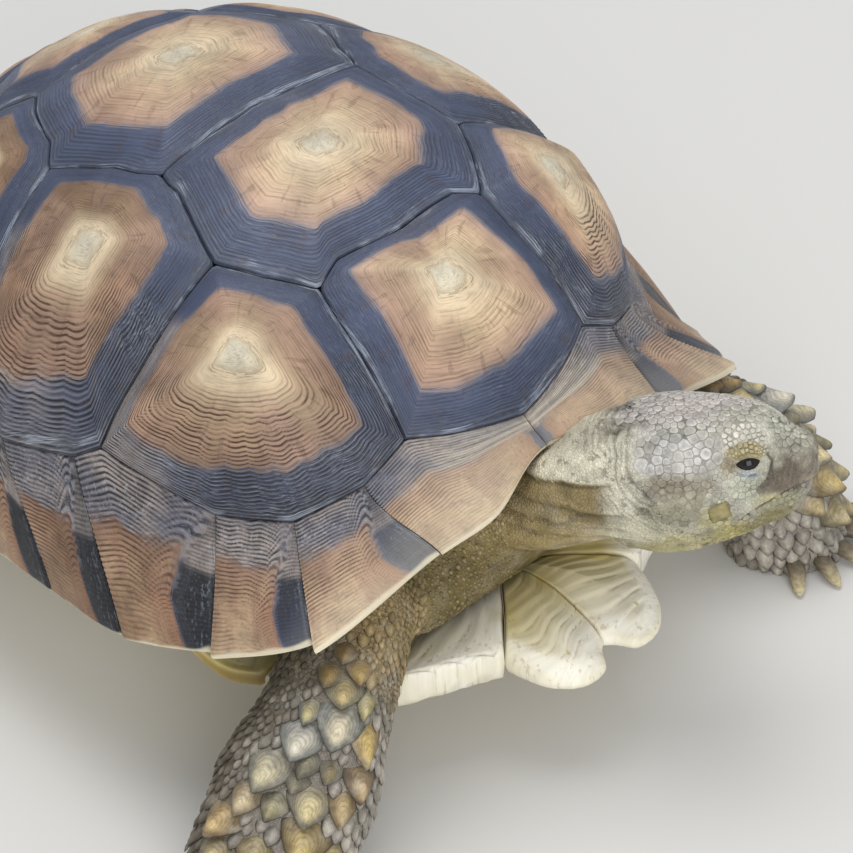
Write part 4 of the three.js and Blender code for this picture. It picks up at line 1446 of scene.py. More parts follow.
@dataclass(frozen=True)
class Studio:
    """Floor, lights and camera. The camera's distance, target and lens are in millimetres."""

    site: Site
    azimuth: float = math.radians(-40.1)
    elevation: float = math.radians(40.84)
    roll: float = math.radians(-3.85)
    distance: float = 1238.0
    target: tuple[float, float, float] = (-10.6, -128.0, 131.5)
    lens: float = 114.58
    sensor: float = 36.0
    far: float = 20.0
    floor_half: float = 6.0
    floor_colour: str = "dad8d4"
    sky: tuple[float, float, float, float] = (0.93, 0.96, 1.0, 1.0)
    sky_strength: float = 0.58
    lit_point: tuple[float, float, float] = (0, 0, 0.1)
    lamps: tuple[Lamp, ...] = (
        Lamp("key", (0.25, 0.25, 2.4), 1.4, 27.0),
        Lamp("fill", (-1.1, -2.0, 0.9), 1.6, 27.0),
    )

    def build(self) -> None:
        """Build the stage and set the scene's view."""
        self.add_floor()
        self.add_lights()
        self.add_camera()
        bpy.context.scene.view_settings.view_transform = "Standard"

    def add_floor(self) -> None:
        """Lay a large pale floor that takes the shadow."""
        corners = np.array([(-1, -1, 0), (1, -1, 0), (1, 1, 0), (-1, 1, 0)]) * self.floor_half
        floor = add_mesh("floor", corners, [[0, 1, 2, 3]])
        paint = Paint("floor_paint").finished({"Base Color": colour(self.floor_colour), "Roughness": 0.9})
        floor.data.materials.append(paint)

    def add_lights(self) -> None:
        """Light the scene by a soft sky and the wide lamps."""
        world = bpy.data.worlds.new("sky")
        world.use_nodes = True
        background = world.node_tree.nodes["Background"]
        background.inputs["Color"].default_value = self.sky
        background.inputs["Strength"].default_value = self.sky_strength
        bpy.context.scene.world = world
        for row in self.lamps:
            data = bpy.data.lights.new(row.name, "AREA")
            data.energy, data.size = row.power, row.size
            lamp = in_scene(row.name, data)
            lamp.location = row.place
            aim = Vector(self.lit_point) - Vector(row.place)
            lamp.rotation_euler = aim.to_track_quat("-Z", "Y").to_euler()

    def add_camera(self) -> None:
        """Set the camera, which looks down on the head and right shoulder."""
        a, e = self.azimuth, self.elevation
        back = Vector((math.sin(a) * math.cos(e), -math.cos(a) * math.cos(e), math.sin(e)))
        right = Vector((math.cos(a), math.sin(a), 0))
        up = back.cross(right)
        c, s = math.cos(self.roll), math.sin(self.roll)
        right, up = right * c + up * s, up * c - right * s
        target = Vector(self.site.metres(np.array(self.target)))
        data = bpy.data.cameras.new("camera")
        data.lens, data.sensor_width, data.clip_end = self.lens, self.sensor, self.far
        camera = in_scene("camera", data)
        turn = Matrix((right, up, back)).transposed().to_4x4()
        camera.matrix_world = Matrix.Translation(target + back * self.distance / 1000) @ turn
        bpy.context.scene.camera = camera


@dataclass(frozen=True)
class HeadPose:
    """How the head stands: its nose tip, and its turn, dip and roll in degrees."""

    nose: tuple[float, float, float] = (77.6, -284.6, 155)
    turn: float = 38.5
    dip: float = -3.0
    roll: float = 15.0

    def matrix(self) -> np.ndarray:
        """The turn from the head's own axes, +X left, +Y back and +Z up.

        Returns:
            A 3 x 3 matrix.
        """
        turn = Matrix.Identity(3)
        for degrees, axis in ((self.turn, "Z"), (self.dip, "X"), (self.roll, "Y")):
            turn = turn @ Matrix.Rotation(math.radians(degrees), 3, axis)
        return np.array(turn)

    def place(self, points: np.ndarray) -> np.ndarray:
        """Head points placed on the animal."""
        return np.asarray(points, dtype=float) @ self.matrix().T + np.array(self.nose)

    def inverse(self, points: np.ndarray) -> np.ndarray:
        """Points of the animal in the head's own axes."""
        return (np.asarray(points, dtype=float) - np.array(self.nose)) @ self.matrix()


# -------------------------------------------------------------------------------- flesh form


@dataclass(frozen=True)
class Station:
    """One section of a tube of flesh: its centre and its half width and half height."""

    at: tuple[float, float, float]
    half: tuple[float, float]


def stations(*rows: tuple[float, ...]) -> tuple[Station, ...]:
    """Stations from rows of x, y, z, half width and half height."""
    return tuple(Station(row[:3], row[3:]) for row in rows)


def spline(knots: np.ndarray, t: np.ndarray) -> np.ndarray:
    """Places on a smooth curve through knots.

    Args:
        knots: the knots' coordinates.
        t: places along the curve, counted in knots.

    Returns:
        The coordinates there.
    """
    knots = np.asarray(knots, dtype=float)
    padded = np.vstack([2 * knots[0] - knots[1], knots, 2 * knots[-1] - knots[-2]])
    low = np.clip(np.floor(t).astype(int), 0, len(knots) - 2)
    u = (t - low)[..., None]
    a, b, c, d = (padded[low + k] for k in range(4))
    return 0.5 * (2 * b + (c - a) * u + (2 * a - 5 * b + 4 * c - d) * u**2 + (3 * b - a - 3 * c + d) * u**3)


@dataclass(frozen=True)
class Tube:
    """A limb, the neck or the tail: stations and the direction across it."""

    rows: tuple[Station, ...]
    sideways: tuple[float, float, float] = (1.0, 0.0, 0.0)
    boxiness: float = 1.0

    def frame(self, t: np.ndarray) -> tuple[np.ndarray, np.ndarray, np.ndarray, np.ndarray]:
        """Centre, side, up and half sizes at places along the tube.

        Args:
            t: places, counted in stations.

        Returns:
            Centres, unit vectors across, unit vectors up, and half widths and heights.
        """
        knots = np.array([row.at for row in self.rows])
        step = 0.05
        last = len(knots) - 1
        heading = unit(spline(knots, np.clip(t + step, 0, last)) - spline(knots, np.clip(t - step, 0, last)))
        across = np.array(self.sideways)
        side = unit(across - heading * (heading @ across)[..., None])
        up = np.cross(side, heading)
        half = spline(np.array([row.half for row in self.rows]), t)
        return spline(knots, t), side, up, np.maximum(half, 0.5)

    def surface(self, t: np.ndarray, angle: np.ndarray, grow: float = 0.0) -> np.ndarray:
        """Points of the tube.

        Args:
            t: places along it, counted in stations.
            angle: angles round it, in radians.
            grow: how much thicker it is all round.

        Returns:
            The points, in millimetres.
        """
        centre, side, up, half = self.frame(t)
        c, s = np.cos(angle), np.sin(angle)
        c = np.sign(c) * np.abs(c) ** self.boxiness
        s = np.sign(s) * np.abs(s) ** self.boxiness
        sideways = side * (c * (half[..., 0] + grow))[..., None]
        return centre + sideways + up * (s * (half[..., 1] + grow))[..., None]

    def body(self, rings: int, sides: int, grow: float) -> tuple[np.ndarray, list]:
        """A closed tube.

        Args:
            rings: number of rings along it.
            sides: number of points round it.
            grow: how much thicker it is all round.

        Returns:
            Its points and faces.
        """
        along = np.linspace(0, len(self.rows) - 1, rings)
        t, angle = np.meshgrid(along, np.linspace(0, 2 * math.pi, sides, endpoint=False), indexing="ij")
        ends = np.array([self.rows[0].at, self.rows[-1].at], dtype=float)
        points, faces, _ = closed_rings(self.surface(t, angle, grow), ends, {})
        return points, faces


HINDLEG = stations(
    (64, 128, 84, 25, 25),
    (98, 164, 76, 29, 26),
    (121, 184, 56, 33, 31),
    (129, 188, 28, 34, 34),
    (131, 189, -12, 35, 36),
)


@dataclass(frozen=True)
class Flesh:
    """The stations of every part of the soft body, as on the solids."""

    neck: Tube = Tube(
        stations(
            (-2, -138, 112, 36, 30),
            (0, -168, 115, 33, 27),
            (3, -192, 121, 29, 25),
            (10, -209, 133, 29, 26),
            (19, -219, 139, 31, 31),
            (34, -236, 141, 32, 36),
        )
    )
    breast: Tube = Tube(
        stations((0, -120, 96, 112, 36), (0, -150, 93, 104, 33), (0, -172, 88, 92, 24), (0, -186, 80, 70, 11))
    )
    foreleg_right: Tube = Tube(
        stations(
            (-66, -132, 104, 29, 27),
            (-88, -160, 93, 29, 27),
            (-119, -179, 70, 29, 26),
            (-146, -186, 45, 36, 27),
            (-171, -192, 22, 35, 27),
            (-183, -194, 8, 34, 29),
            (-188, -195, -12, 33, 29),
        ),
        (0.6, -0.8, 0.0),
        0.85,
    )
    foreleg_left: Tube = Tube(
        stations(
            (72, -132, 102, 29, 27),
            (104, -162, 90, 29, 27),
            (133, -183, 68, 29, 27),
            (149, -197, 38, 31, 28),
            (155, -202, 10, 31, 29),
            (157, -203, -12, 31, 29),
        ),
        (0.6, -0.8, 0.0),
        0.85,
    )
    hindleg_left: Tube = Tube(HINDLEG)
    hindleg_right: Tube = Tube(tuple(Station((-row.at[0], *row.at[1:]), row.half) for row in HINDLEG))
    tail: Tube = Tube(
        stations(
            (0, 168, 92, 20, 16),
            (0, 196, 86, 17, 14),
            (0, 222, 70, 12, 10),
            (0, 236, 52, 6, 6),
            (0, 240, 42, 1.5, 1.5),
        )
    )

    def legs(self) -> dict[str, Tube]:
        """The four legs by name, in the order in which they are covered."""
        return {name: getattr(self, name) for name in FEET}


SKULL = (
    (0.5, 9, 4, 13),
    (4, 13.5, 9, 21),
    (11, 16.5, 13, 28),
    (20, 20, 19.5, 33),
    (29, 23.5, 23, 37),
    (40, 28, 24.5, 41),
    (52, 31.5, 24, 45),
    (66, 33, 23.5, 47),
    (84, 32, 20, 45),
)


def flap_edge(back: np.ndarray) -> np.ndarray:
    """Height of the lower edge of the pale flap of skin over the nape, in head millimetres."""
    return np.interp(back, (80, 100, 110, 122, 135), (-1.1, -3.3, -4.2, -5.9, -7.0))


@dataclass(frozen=True)
class Eye:
    """The eyeball, and how its lids open over it, in head millimetres."""

    centre: tuple[float, float, float] = (15.8, 29.6, 4.3)
    radius: float = 7.5
    lid: float = 1.5
    facing: tuple[float, float, float] = (0.955, -0.16, 0.25)
    half_width: float = 5.4
    upper: float = 2.3
    lower: float = 3.1

    def axes(self) -> tuple[np.ndarray, np.ndarray, np.ndarray]:
        """Directions at the eye.

        Returns:
            Unit vectors out of the eye, backwards along its slit, and up across it.
        """
        out = unit(np.array(self.facing))
        back = unit(np.cross(out, (0.0, 0.12, 1.0)))
        back = back * np.sign(back[1])
        up = np.cross(out, back)
        return out, back, up * np.sign(up[2])

    def opening(self, local: np.ndarray) -> tuple[np.ndarray, np.ndarray, np.ndarray, np.ndarray]:
        """Where head points lie about the eye.

        Args:
            local: head points, folded to the left side.

        Returns:
            Distance from the eye's centre, places along and across the slit in millimetres on the eyeball,
            and how far each lies above the lid's edge, negative inside the opening.
        """
        offset = local - np.array(self.centre)
        reach = np.linalg.norm(offset, axis=-1)
        heading = offset / np.maximum(reach, 1e-9)[..., None]
        out, back, up = self.axes()
        facing = heading @ out
        along = heading @ back * self.radius
        across = heading @ up * self.radius
        share = np.clip(1 - (along / self.half_width) ** 2, 0, 1)
        high = self.upper * share**0.8
        low = -self.lower * share**0.7
        edge = np.maximum(across - high, low - across)
        edge = np.maximum(edge, np.abs(along) - self.half_width)
        edge = np.where(facing > 0.2, edge, 9.0)
        return reach, along, across, edge


@dataclass(frozen=True)
class Swelling:
    """A soft rise of the head's sides: its height, its places and breadths, and where it starts."""

    height: float
    back: tuple[float, float]
    up: tuple[float, float]
    side: tuple[float, float]


BROW_FRONT = Swelling(0.9, (24, 6), (13, 3.2), (5, 12))
BROW_REAR = Swelling(0.8, (33, 7), (12, 3.2), (5, 12))
SNOUT_DIP = Swelling(-0.5, (13, 5), (10, 3), (-2, -1))
JAW_MUSCLE = Swelling(1.1, (57, 12), (-14, 6), (14, 22))
TEMPLE = Swelling(0.8, (56, 13), (10, 7), (14, 22))


@dataclass(frozen=True)
class HeadRelief:
    """The head's features, raised and sunk on its plain form, in head millimetres folded to the left."""

    eye: Eye = field(default_factory=Eye)
    mouth: tuple[tuple[float, float], ...] = (
        (-3, -8.5),
        (2, -7.6),
        (8, -8.8),
        (13, -10.8),
        (22, -16),
        (31, -22),
    )
    nostril: tuple[float, float, float] = (4.2, 1.0, 0.5)
    swellings: tuple[Swelling, ...] = (BROW_FRONT, BROW_REAR, SNOUT_DIP, JAW_MUSCLE, TEMPLE)

    def mouth_height(self, back: np.ndarray) -> np.ndarray:
        """Height of the mouth's line at places back from the nose."""
        return np.interp(back, *zip(*self.mouth))

    def from_nostril(self, local: np.ndarray) -> np.ndarray:
        """Distance of head points from the nostril on their side."""
        return np.linalg.norm(left_folded(local) - np.array(self.nostril), axis=-1)

    @staticmethod
    def eye_groove(local: np.ndarray, width: float) -> np.ndarray:
        """How near head points are to the groove that runs down before the eye.

        Args:
            local: head points.
            width: the groove's half width.

        Returns:
            One in the groove, falling to nothing beside it.
        """
        side, back, up = left_folded(local).T
        front = np.interp(up, (-3, 2, 5, 8), (20.6, 19.0, 18.4, 20.6))
        groove = bump_line(back - front, width) * smooth(up, -5, -2)
        return groove * (1 - smooth(up, 8, 10)) * smooth(side, 8, 13)

    def push(self, local: np.ndarray) -> np.ndarray:
        """Raise and sink the head's features.

        Args:
            local: head points.

        Returns:
            How far each point moves along its outward normal.
        """
        side, back, up = left_folded(local).T
        push = np.zeros(len(local))
        mouth = up - self.mouth_height(back)
        open_part = 1 - smooth(back, 27, 33)
        push -= 2.2 * bump_line(mouth, 0.85) * open_part
        push += 0.7 * bump_line(mouth - 1.6, 1.0) * (1 - smooth(back, 16, 24))
        nostril = self.from_nostril(local)
        push -= 1.6 * bump_line(nostril, 1.1)
        push += 0.35 * bump_line(nostril - 2.0, 0.7)
        push -= 0.8 * self.eye_groove(local, 0.55)
        for row in self.swellings:
            hill = bump_line(back - row.back[0], row.back[1]) * bump_line(up - row.up[0], row.up[1])
            push += row.height * hill * smooth(side, *row.side)
        crossing = np.sin(back * 2.6 + 1.5 * ripple(local, 7.0, 74) + 0.35 * up)
        snout = smooth(back, 4, 9) * (1 - smooth(back, 17, 21)) * smooth(up, -9, -5) * (1 - smooth(up, 5, 9))
        lips = (1 - smooth(back, 24, 34)) * bump_line(mouth + 3.4, 2.4)
        push += 0.3 * crossing * (snout + lips)
        knobbly = (1 - smooth(back, 20, 27)) * smooth(up, -2, 3)
        push += 0.3 * ripple(local, 4.2, 75) * knobbly
        push += 0.9 * bump_line(back - 6, 5) * smooth(up, 3, 8) * bump_line(side - 3.5, 3)
        return push

    def hollow(self, local: np.ndarray) -> np.ndarray:
        """How far the lower jaw and the ear's drum lie inside the plain form.

        Args:
            local: head points.

        Returns:
            The depth at each point.
        """
        side, back, up = left_folded(local).T
        under = self.mouth_height(back) - up
        jaw = 1.5 * smooth(under, 0.2, 1.6) * (1 - smooth(under, 9, 16)) * (1 - smooth(back, 20, 31))
        return jaw + 1.4 * bump_line(back - 60, 12) * bump_line(up + 2.5, 3.4) * smooth(side, 18, 26)

    def gloom(self, local: np.ndarray) -> np.ndarray:
        """How dark painted shade makes the mouth, the nostrils and the groove before the eye.

        Args:
            local: head points.

        Returns:
            A factor for the colour of each point, one where there is none of these.
        """
        side, back, up = left_folded(local).T
        mouth = bump_line(up - self.mouth_height(back), 1.1) * (1 - smooth(back, 29, 35)) * (side < 25)
        nostril = bump_line(self.from_nostril(local), 1.7)
        return (1 - 0.75 * mouth) * (1 - 0.7 * nostril) * (1 - 0.5 * self.eye_groove(local, 0.9))

    def lids(self, local: np.ndarray) -> np.ndarray:
        """Wrap head points over the eyeballs, with the lids cut open.

        Args:
            local: head points.

        Returns:
            Their new places.
        """
        mirror = np.ones_like(local)
        mirror[local[:, 0] < 0, 0] = -1.0
        folded = local * mirror
        reach, _, across, edge = self.eye.opening(folded)
        centre = np.array(self.eye.centre)
        heading = (folded - centre) / np.maximum(reach, 1e-9)[:, None]
        facing = heading @ self.eye.axes()[0]
        near = smooth(facing, 0.25, 0.8)
        rim = 0.35 * bump_line(edge - 0.55, 0.5)
        fold = 0.5 * bump_line(edge - 2.0, 0.45) * (across < 0)
        fold = fold + 0.55 * bump_line(edge - 1.6, 0.4) * (across > 0)
        lid = self.eye.radius + self.eye.lid + rim - fold + 0.35 * smooth(edge, 1.8, 3.5)
        lid = np.maximum(lid, reach * smooth(0.8 - facing, 0, 0.35))
        wrapped = lid * near + reach * (1 - near)
        inside = 1 - smooth(edge, -0.5, 0.25)
        wrapped = wrapped * (1 - inside) + (self.eye.radius - 1.6) * inside
        wrapped = np.where(edge > 8.5, reach, wrapped)
        return (centre + heading * wrapped[:, None]) * mirror


@dataclass
class Skin:
    """The one skin of the soft body, from the beak to the tail."""

    site: Site
    pose: HeadPose
    flesh: Flesh = field(default_factory=Flesh)
    dome: Dome = field(default_factory=Dome)
    relief: HeadRelief = field(default_factory=HeadRelief)
    inset: float = 1.2
    voxel: float = 2.1
    hidden_share: float = 0.03
    trunk_inset: float = 9.5
    belly: float = 56.0
    sole: float = 0.3
    nodes: tuple[str, ...] = (
        "head",
        "neck",
        "trunk",
        "tail",
        "foreleg_left",
        "foreleg_right",
        "hindleg_left",
        "hindleg_right",
    )

    def head_body(self) -> tuple[np.ndarray, list]:
        """The head's plain form, before its features.

        Returns:
            Its points and faces.
        """
        rows = np.array(SKULL, dtype=float)
        t = np.linspace(0, len(rows) - 1, 60)
        section = spline(rows, t)
        angle = np.linspace(0, 2 * math.pi, 72, endpoint=False)
        c, s = np.cos(angle), np.sin(angle)
        x = (section[:, 1] - self.inset)[:, None] * (np.sign(c) * np.abs(c) ** 0.8)
        z = np.where(s > 0, section[:, 2][:, None], section[:, 3][:, None]) - self.inset
        z = z * (np.sign(s) * np.abs(s) ** 0.85)
        y = np.broadcast_to(section[:, 0][:, None], x.shape)
        rings = np.stack([x, y, z], axis=-1)
        ends = np.array([(0, 0, -2), (0, 84, -8)], dtype=float)
        points, faces, _ = closed_rings(rings, ends, {})
        return self.pose.place(points), faces

    def trunk_body(self) -> tuple[np.ndarray, list]:
        """The trunk inside the shell.

        Returns:
            Its points and faces.
        """
        bearing = np.linspace(-math.pi, math.pi, 64, endpoint=False)
        whole = np.ones_like(bearing)
        under = (0.12, 0.3, 0.48, 0.68, 0.83)
        rows = [self.dome.lifted(bearing, whole * reach, whole * -self.trunk_inset) for reach in under]
        for reach, height in ((0.9, 158), (0.9, 102), (0.59, self.belly)):
            ring = self.dome.point(bearing, whole * reach)
            ring[:, 2] = height
            rows.append(ring)
        rings = np.stack(rows)
        rings[..., 1] = np.clip(rings[..., 1], -149, 175)
        ends = np.array([(0, 0, self.dome.apex - self.trunk_inset), (0, 0, self.belly)])
        points, faces, _ = closed_rings(rings, ends, {})
        return points, faces

    def joined_body(self) -> bpy.types.Mesh:
        """Melt all the flesh forms into one closed skin.

        Returns:
            The skin's plain mesh.
        """
        parts = [self.head_body(), self.trunk_body()]
        shape = self.flesh
        for tube in (shape.neck, shape.breast, *shape.legs().values()):
            parts.append(tube.body(40, 48, -self.inset))
        parts.append(shape.tail.body(30, 32, -0.5))
        points, faces = merged(parts)
        rough = add_mesh("rough_skin", self.site.metres(points), faces)
        remesh = rough.modifiers.new("melt", "REMESH")
        remesh.mode = "VOXEL"
        remesh.voxel_size = self.voxel / 1000
        smoothing = rough.modifiers.new("soften", "SMOOTH")
        smoothing.factor = 0.6
        smoothing.iterations = 5
        return baked(rough)

    def thinned(self, mesh: bpy.types.Mesh) -> bpy.types.Mesh:
        """Leave few of the skin's faces where the shell hides it.

        Args:
            mesh: the skin.

        Returns:
            The thinned mesh.
        """
        _, y, z = self.site.millimetres(mesh_points(mesh)).T
        hidden = (np.abs(y) < 112) & (z > 48) | (z > 152) & (y > -165) & (y < 200)
        share = float(hidden.mean())
        thin = in_scene("thin_skin", mesh)
        group = thin.vertex_groups.new(name="hidden")
        group.add(np.nonzero(hidden)[0].tolist(), 1.0, "REPLACE")
        decimate = thin.modifiers.new("thin", "DECIMATE")
        decimate.ratio = 1 - share * (1 - self.hidden_share)
        decimate.vertex_group = "hidden"
        decimate.vertex_group_factor = 1000.0
        return baked(thin)

    def refined(self, mesh: bpy.types.Mesh) -> None:
        """Cut the soles level, and cut the faces smaller on the head and neck, and at the eyes and mouth.

        Args:
            mesh: the skin, which is changed.
        """
        work = bmesh.new()
        work.from_mesh(mesh)
        floor = (self.site.shift[0] / 1000, self.site.shift[1] / 1000, self.sole / 1000)
        around = work.verts[:] + work.edges[:] + work.faces[:]
        cut = bmesh.ops.bisect_plane(work, geom=around, plane_co=floor, plane_no=(0, 0, -1), clear_outer=True)
        rim = [item for item in cut["geom_cut"] if isinstance(item, bmesh.types.BMEdge)]
        bmesh.ops.holes_fill(work, edges=rim)
        for near in (self.on_head, self.on_features):
            places = np.array([vertex.co for vertex in work.verts])
            chosen = near(self.pose.inverse(self.site.millimetres(places)))
            edges = [edge for edge in work.edges if all(chosen[end.index] for end in edge.verts)]
            grown = bmesh.ops.subdivide_edges(work, edges=edges, cuts=1, use_grid_fill=True)
            fresh = [item for item in grown["geom_inner"] if isinstance(item, bmesh.types.BMVert)]
            every_way = dict.fromkeys(("use_axis_x", "use_axis_y", "use_axis_z"), True)
            bmesh.ops.smooth_vert(work, verts=fresh, factor=0.5, **every_way)
            work.verts.index_update()
        work.normal_update()
        work.to_mesh(mesh)
        work.free()

    @staticmethod
    def on_head(local: np.ndarray) -> np.ndarray:
        """Whether head points lie on the head or the neck's front part."""
        return (local[:, 1] < 114) & (np.abs(local[:, 0]) < 42) & (local[:, 2] > -48) & (local[:, 2] < 30)

    @staticmethod
    def on_features(local: np.ndarray) -> np.ndarray:
        """Tell which head points lie near an eye, the mouth or a nostril.

        Args:
            local: head points.

        Returns:
            Whether each does.
        """
        side, back, up = left_folded(local).T
        eye = (np.hypot(back - 28.5, up - 4.3) < 10.5) & (side > 12)
        jaw = (back < 33) & (np.abs(up - HeadRelief().mouth_height(back)) < 3.5)
        nose = (back < 6) & (np.abs(up) < 5)
        return eye | jaw | nose

    def carve(self, mesh: bpy.types.Mesh) -> np.ndarray:
        """Raise and sink the head's and neck's features.

        Args:
            mesh: the skin, which is changed.

        Returns:
            How far each point was raised.
        """
        points = self.site.millimetres(mesh_points(mesh))
        normals = mesh_normals(mesh)
        local = self.pose.inverse(points)
        on_head = self.on_head(local) & (local[:, 1] < 96)
        push = np.zeros(len(points))
        push[on_head] = self.relief.push(local[on_head])
        push += self.neck_folds(points, local)
        push += 0.22 * ripple(local, 9.0, 71) * smooth(130 - local[:, 1], 0, 20)
        hollow = np.zeros(len(points))
        hollow[on_head] = self.relief.hollow(local[on_head])
        moved = points + normals * (push - hollow)[:, None]
        local = self.pose.inverse(moved)
        local[on_head] = self.relief.lids(local[on_head])
        moved = np.where(on_head[:, None], self.pose.place(local), moved)
        move_points(mesh, self.site.metres(moved))
        mesh.update()
        return push

    @staticmethod
    def under_plates(local: np.ndarray) -> np.ndarray:
        """How dark the painted shade makes the skin between the head's plates.

        Args:
            local: head points.

        Returns:
            A factor for the colour of each point, one where there are no plates.
        """
        folded = left_folded(local)
        shade = np.ones(len(local))
        for row in PLATE_ZONES:
            size = SQUARE_SEAM if row.square else np.array(row.size)
            reach = np.linalg.norm((folded - np.array(row.at)) / size, axis=-1)
            shade = np.minimum(shade, 1 - row.seam * (1 - smooth(reach, 0.85, 1.05)))
        return shade

    @staticmethod
    def neck_folds(points: np.ndarray, local: np.ndarray) -> np.ndarray:
        """Folds of loose skin behind the jaw, over the nape and along the neck.

        Args:
            points: places on the animal.
            local: the same places as head points.

        Returns:
            How far each point is raised.
        """
        side, back, up = left_folded(local).T
        near = (back > 30) & (back < 175) & (side < 60) & (up > -60) & (up < 45)
        arc = np.interp(up, (-36, -27, -18, -8, 2, 12, 25), (36, 53, 65, 73, 78, 81, 83))
        drift = 1.2 * ripple(local, 16.0, 81) + 0.5 * ripple(local, 6.0, 82)
        push = np.zeros(len(points))
        folds = ((0, 1.0), (2.6, 0.6), (5.4, 0.9), (8.0, 0.5), (11.2, 0.7), (14.6, 0.4), (18.5, 0.4))
        for offset, depth in folds:
            push -= depth * bump_line(back - arc - offset + drift, 0.65)
            push += 0.4 * depth * bump_line(back - arc - offset - 1.3 + drift, 0.8)
        push = push * smooth(back, 30, 42)
        flap = up - flap_edge(back) + 0.2 * drift
        behind = smooth(back, 84, 90) * smooth(side, 4, 12)
        raised = 1.1 * smooth(flap, -0.6, 0.9) * (1 - smooth(flap, 4, 14))
        push += behind * (raised - 0.9 * bump_line(flap + 1.2, 0.8))
        for height, depth in ((-16.0, 1.0), (-24.0, 0.8), (-31.0, 0.7)):
            line = up - height - 0.06 * (back - 110) + 0.4 * drift
            push -= depth * bump_line(line, 0.9) * smooth(back, 76, 84)
            push += 0.5 * depth * bump_line(line - 2.2, 1.3) * smooth(back, 76, 84)
        return np.where(near, push, 0.0)

    def build(self, material: bpy.types.Material, tint: "HideTint") -> bpy.types.Object:
        """Build the skin.

        Args:
            material: the hide's finish.
            tint: the animal's markings.

        Returns:
            The skin.
        """
        mesh = self.thinned(self.joined_body())
        self.refined(mesh)
        push = self.carve(mesh)
        shade_smooth(mesh)
        places = self.site.millimetres(mesh_points(mesh))
        local = self.pose.inverse(places)
        # Painted shade in the carved creases and hollows, between the head's plates and at the mouth, the
        # nostrils and the groove before the eye, and painted light on the carved ridges.
        shade = np.clip(1 + 0.42 * push, 0.12, 1.2) * self.under_plates(local) * self.relief.gloom(local)
        set_attribute(mesh, "tint", np.minimum(tint.at(places) * shade[:, None], 1))
        return finish_piece(in_scene("skin", mesh), material, list(self.nodes))


@dataclass(frozen=True)
class Blot:
    """A soft patch of colour on the hide, in head millimetres folded to the left, or on the body."""

    tone: str
    at: tuple[float, float, float]
    size: tuple[float, float, float]
    on_head: bool = True
    strength: float = 1.0
    ragged: float = 0.25
    softness: float = 0.6


BLOTS = (
    Blot("5c5344", (0, 0, 60), (900, 900, 900), False),
    Blot("77683f", (0, -170, 90), (130, 60, 60), False, 1.0),
    Blot("9a855c", (-88, -196, 96), (30, 40, 46), False, 0.9),
    Blot("9a855c", (88, -196, 96), (30, 40, 46), False, 0.9),
    Blot("979085", (-150, -212, 50), (70, 46, 70), False, 0.9),
    Blot("979085", (150, -225, 40), (70, 50, 70), False, 0.9),
    Blot("9b8a5d", (0, 130, -20), (60, 80, 34)),
    Blot("b09c6c", (0, 110, -30), (60, 40, 20), True, 0.8),
    Blot("c6c3b2", (0, 40, 4), (60, 58, 60)),
    Blot("cfcab6", (30, 84, 0), (26, 14, 30)),
    Blot("dad5ba", (26, 72, -26), (26, 26, 14)),
    Blot("c3ba8c", (16, 54, -36), (26, 30, 12)),
    Blot("c4b878", (14, 38, -28), (18, 14, 9)),
    Blot("cdc6bf", (0, 62, 24), (24, 34, 15)),
    Blot("d6ccc6", (0, 52, 24), (16, 24, 9), True, 0.8),
    Blot("d5d1cb", (26, 58, 11), (16, 22, 13)),
    # Brownish-grey over the ear's drum, partly painted shade under the temple plates.
    Blot("a49a87", (31, 58, -3), (14, 19, 8)),
    Blot("a9a48c", (30, 57, -14), (16, 16, 10)),
    Blot("cfc89a", (25, 44, -20), (9, 10, 8)),
    Blot("ab9c66", (24, 41, -16.5), (5.6, 5.6, 5.6), True, 0.9, 0.1, 0.2),
    Blot("ddd8c9", (19, 31, 15), (10, 10, 6), True, 1.0, 0.25, 0.2),
    Blot("bdb088", (22, 29, 10.5), (9, 10, 3.4), True, 1.0, 0.25, 0.2),
    Blot("ada086", (22, 37, 5), (7, 5, 5)),
    # Bluish-grey lower lid, partly a painted highlight.
    Blot("b3b9b8", (23, 28, 0.8), (8, 7, 4.2)),
    Blot("d2d3bd", (22, 29, -6), (11, 9, 6)),
    Blot("c6c4b4", (10, 14, 12), (13, 11, 8)),
    Blot("dcd9c6", (6, 8, 10), (5, 5, 5), True, 0.8),
    Blot("8f8a78", (12, 10, 2), (15, 15, 13), True, 0.7),
    Blot("776c5f", (14, 12, -3.2), (14.5, 15, 11), True, 1.0, 0.5),
    Blot("7d7265", (7, 1, -2), (10, 7, 9), True, 0.8),
    Blot("b3b08e", (13, 18, -17), (14, 17, 7)),
    Blot("b0a678", (13, 22, -13), (9, 10, 3.4), True, 0.8),
    Blot("988e5d", (10, 20, -26), (16, 16, 7)),
)


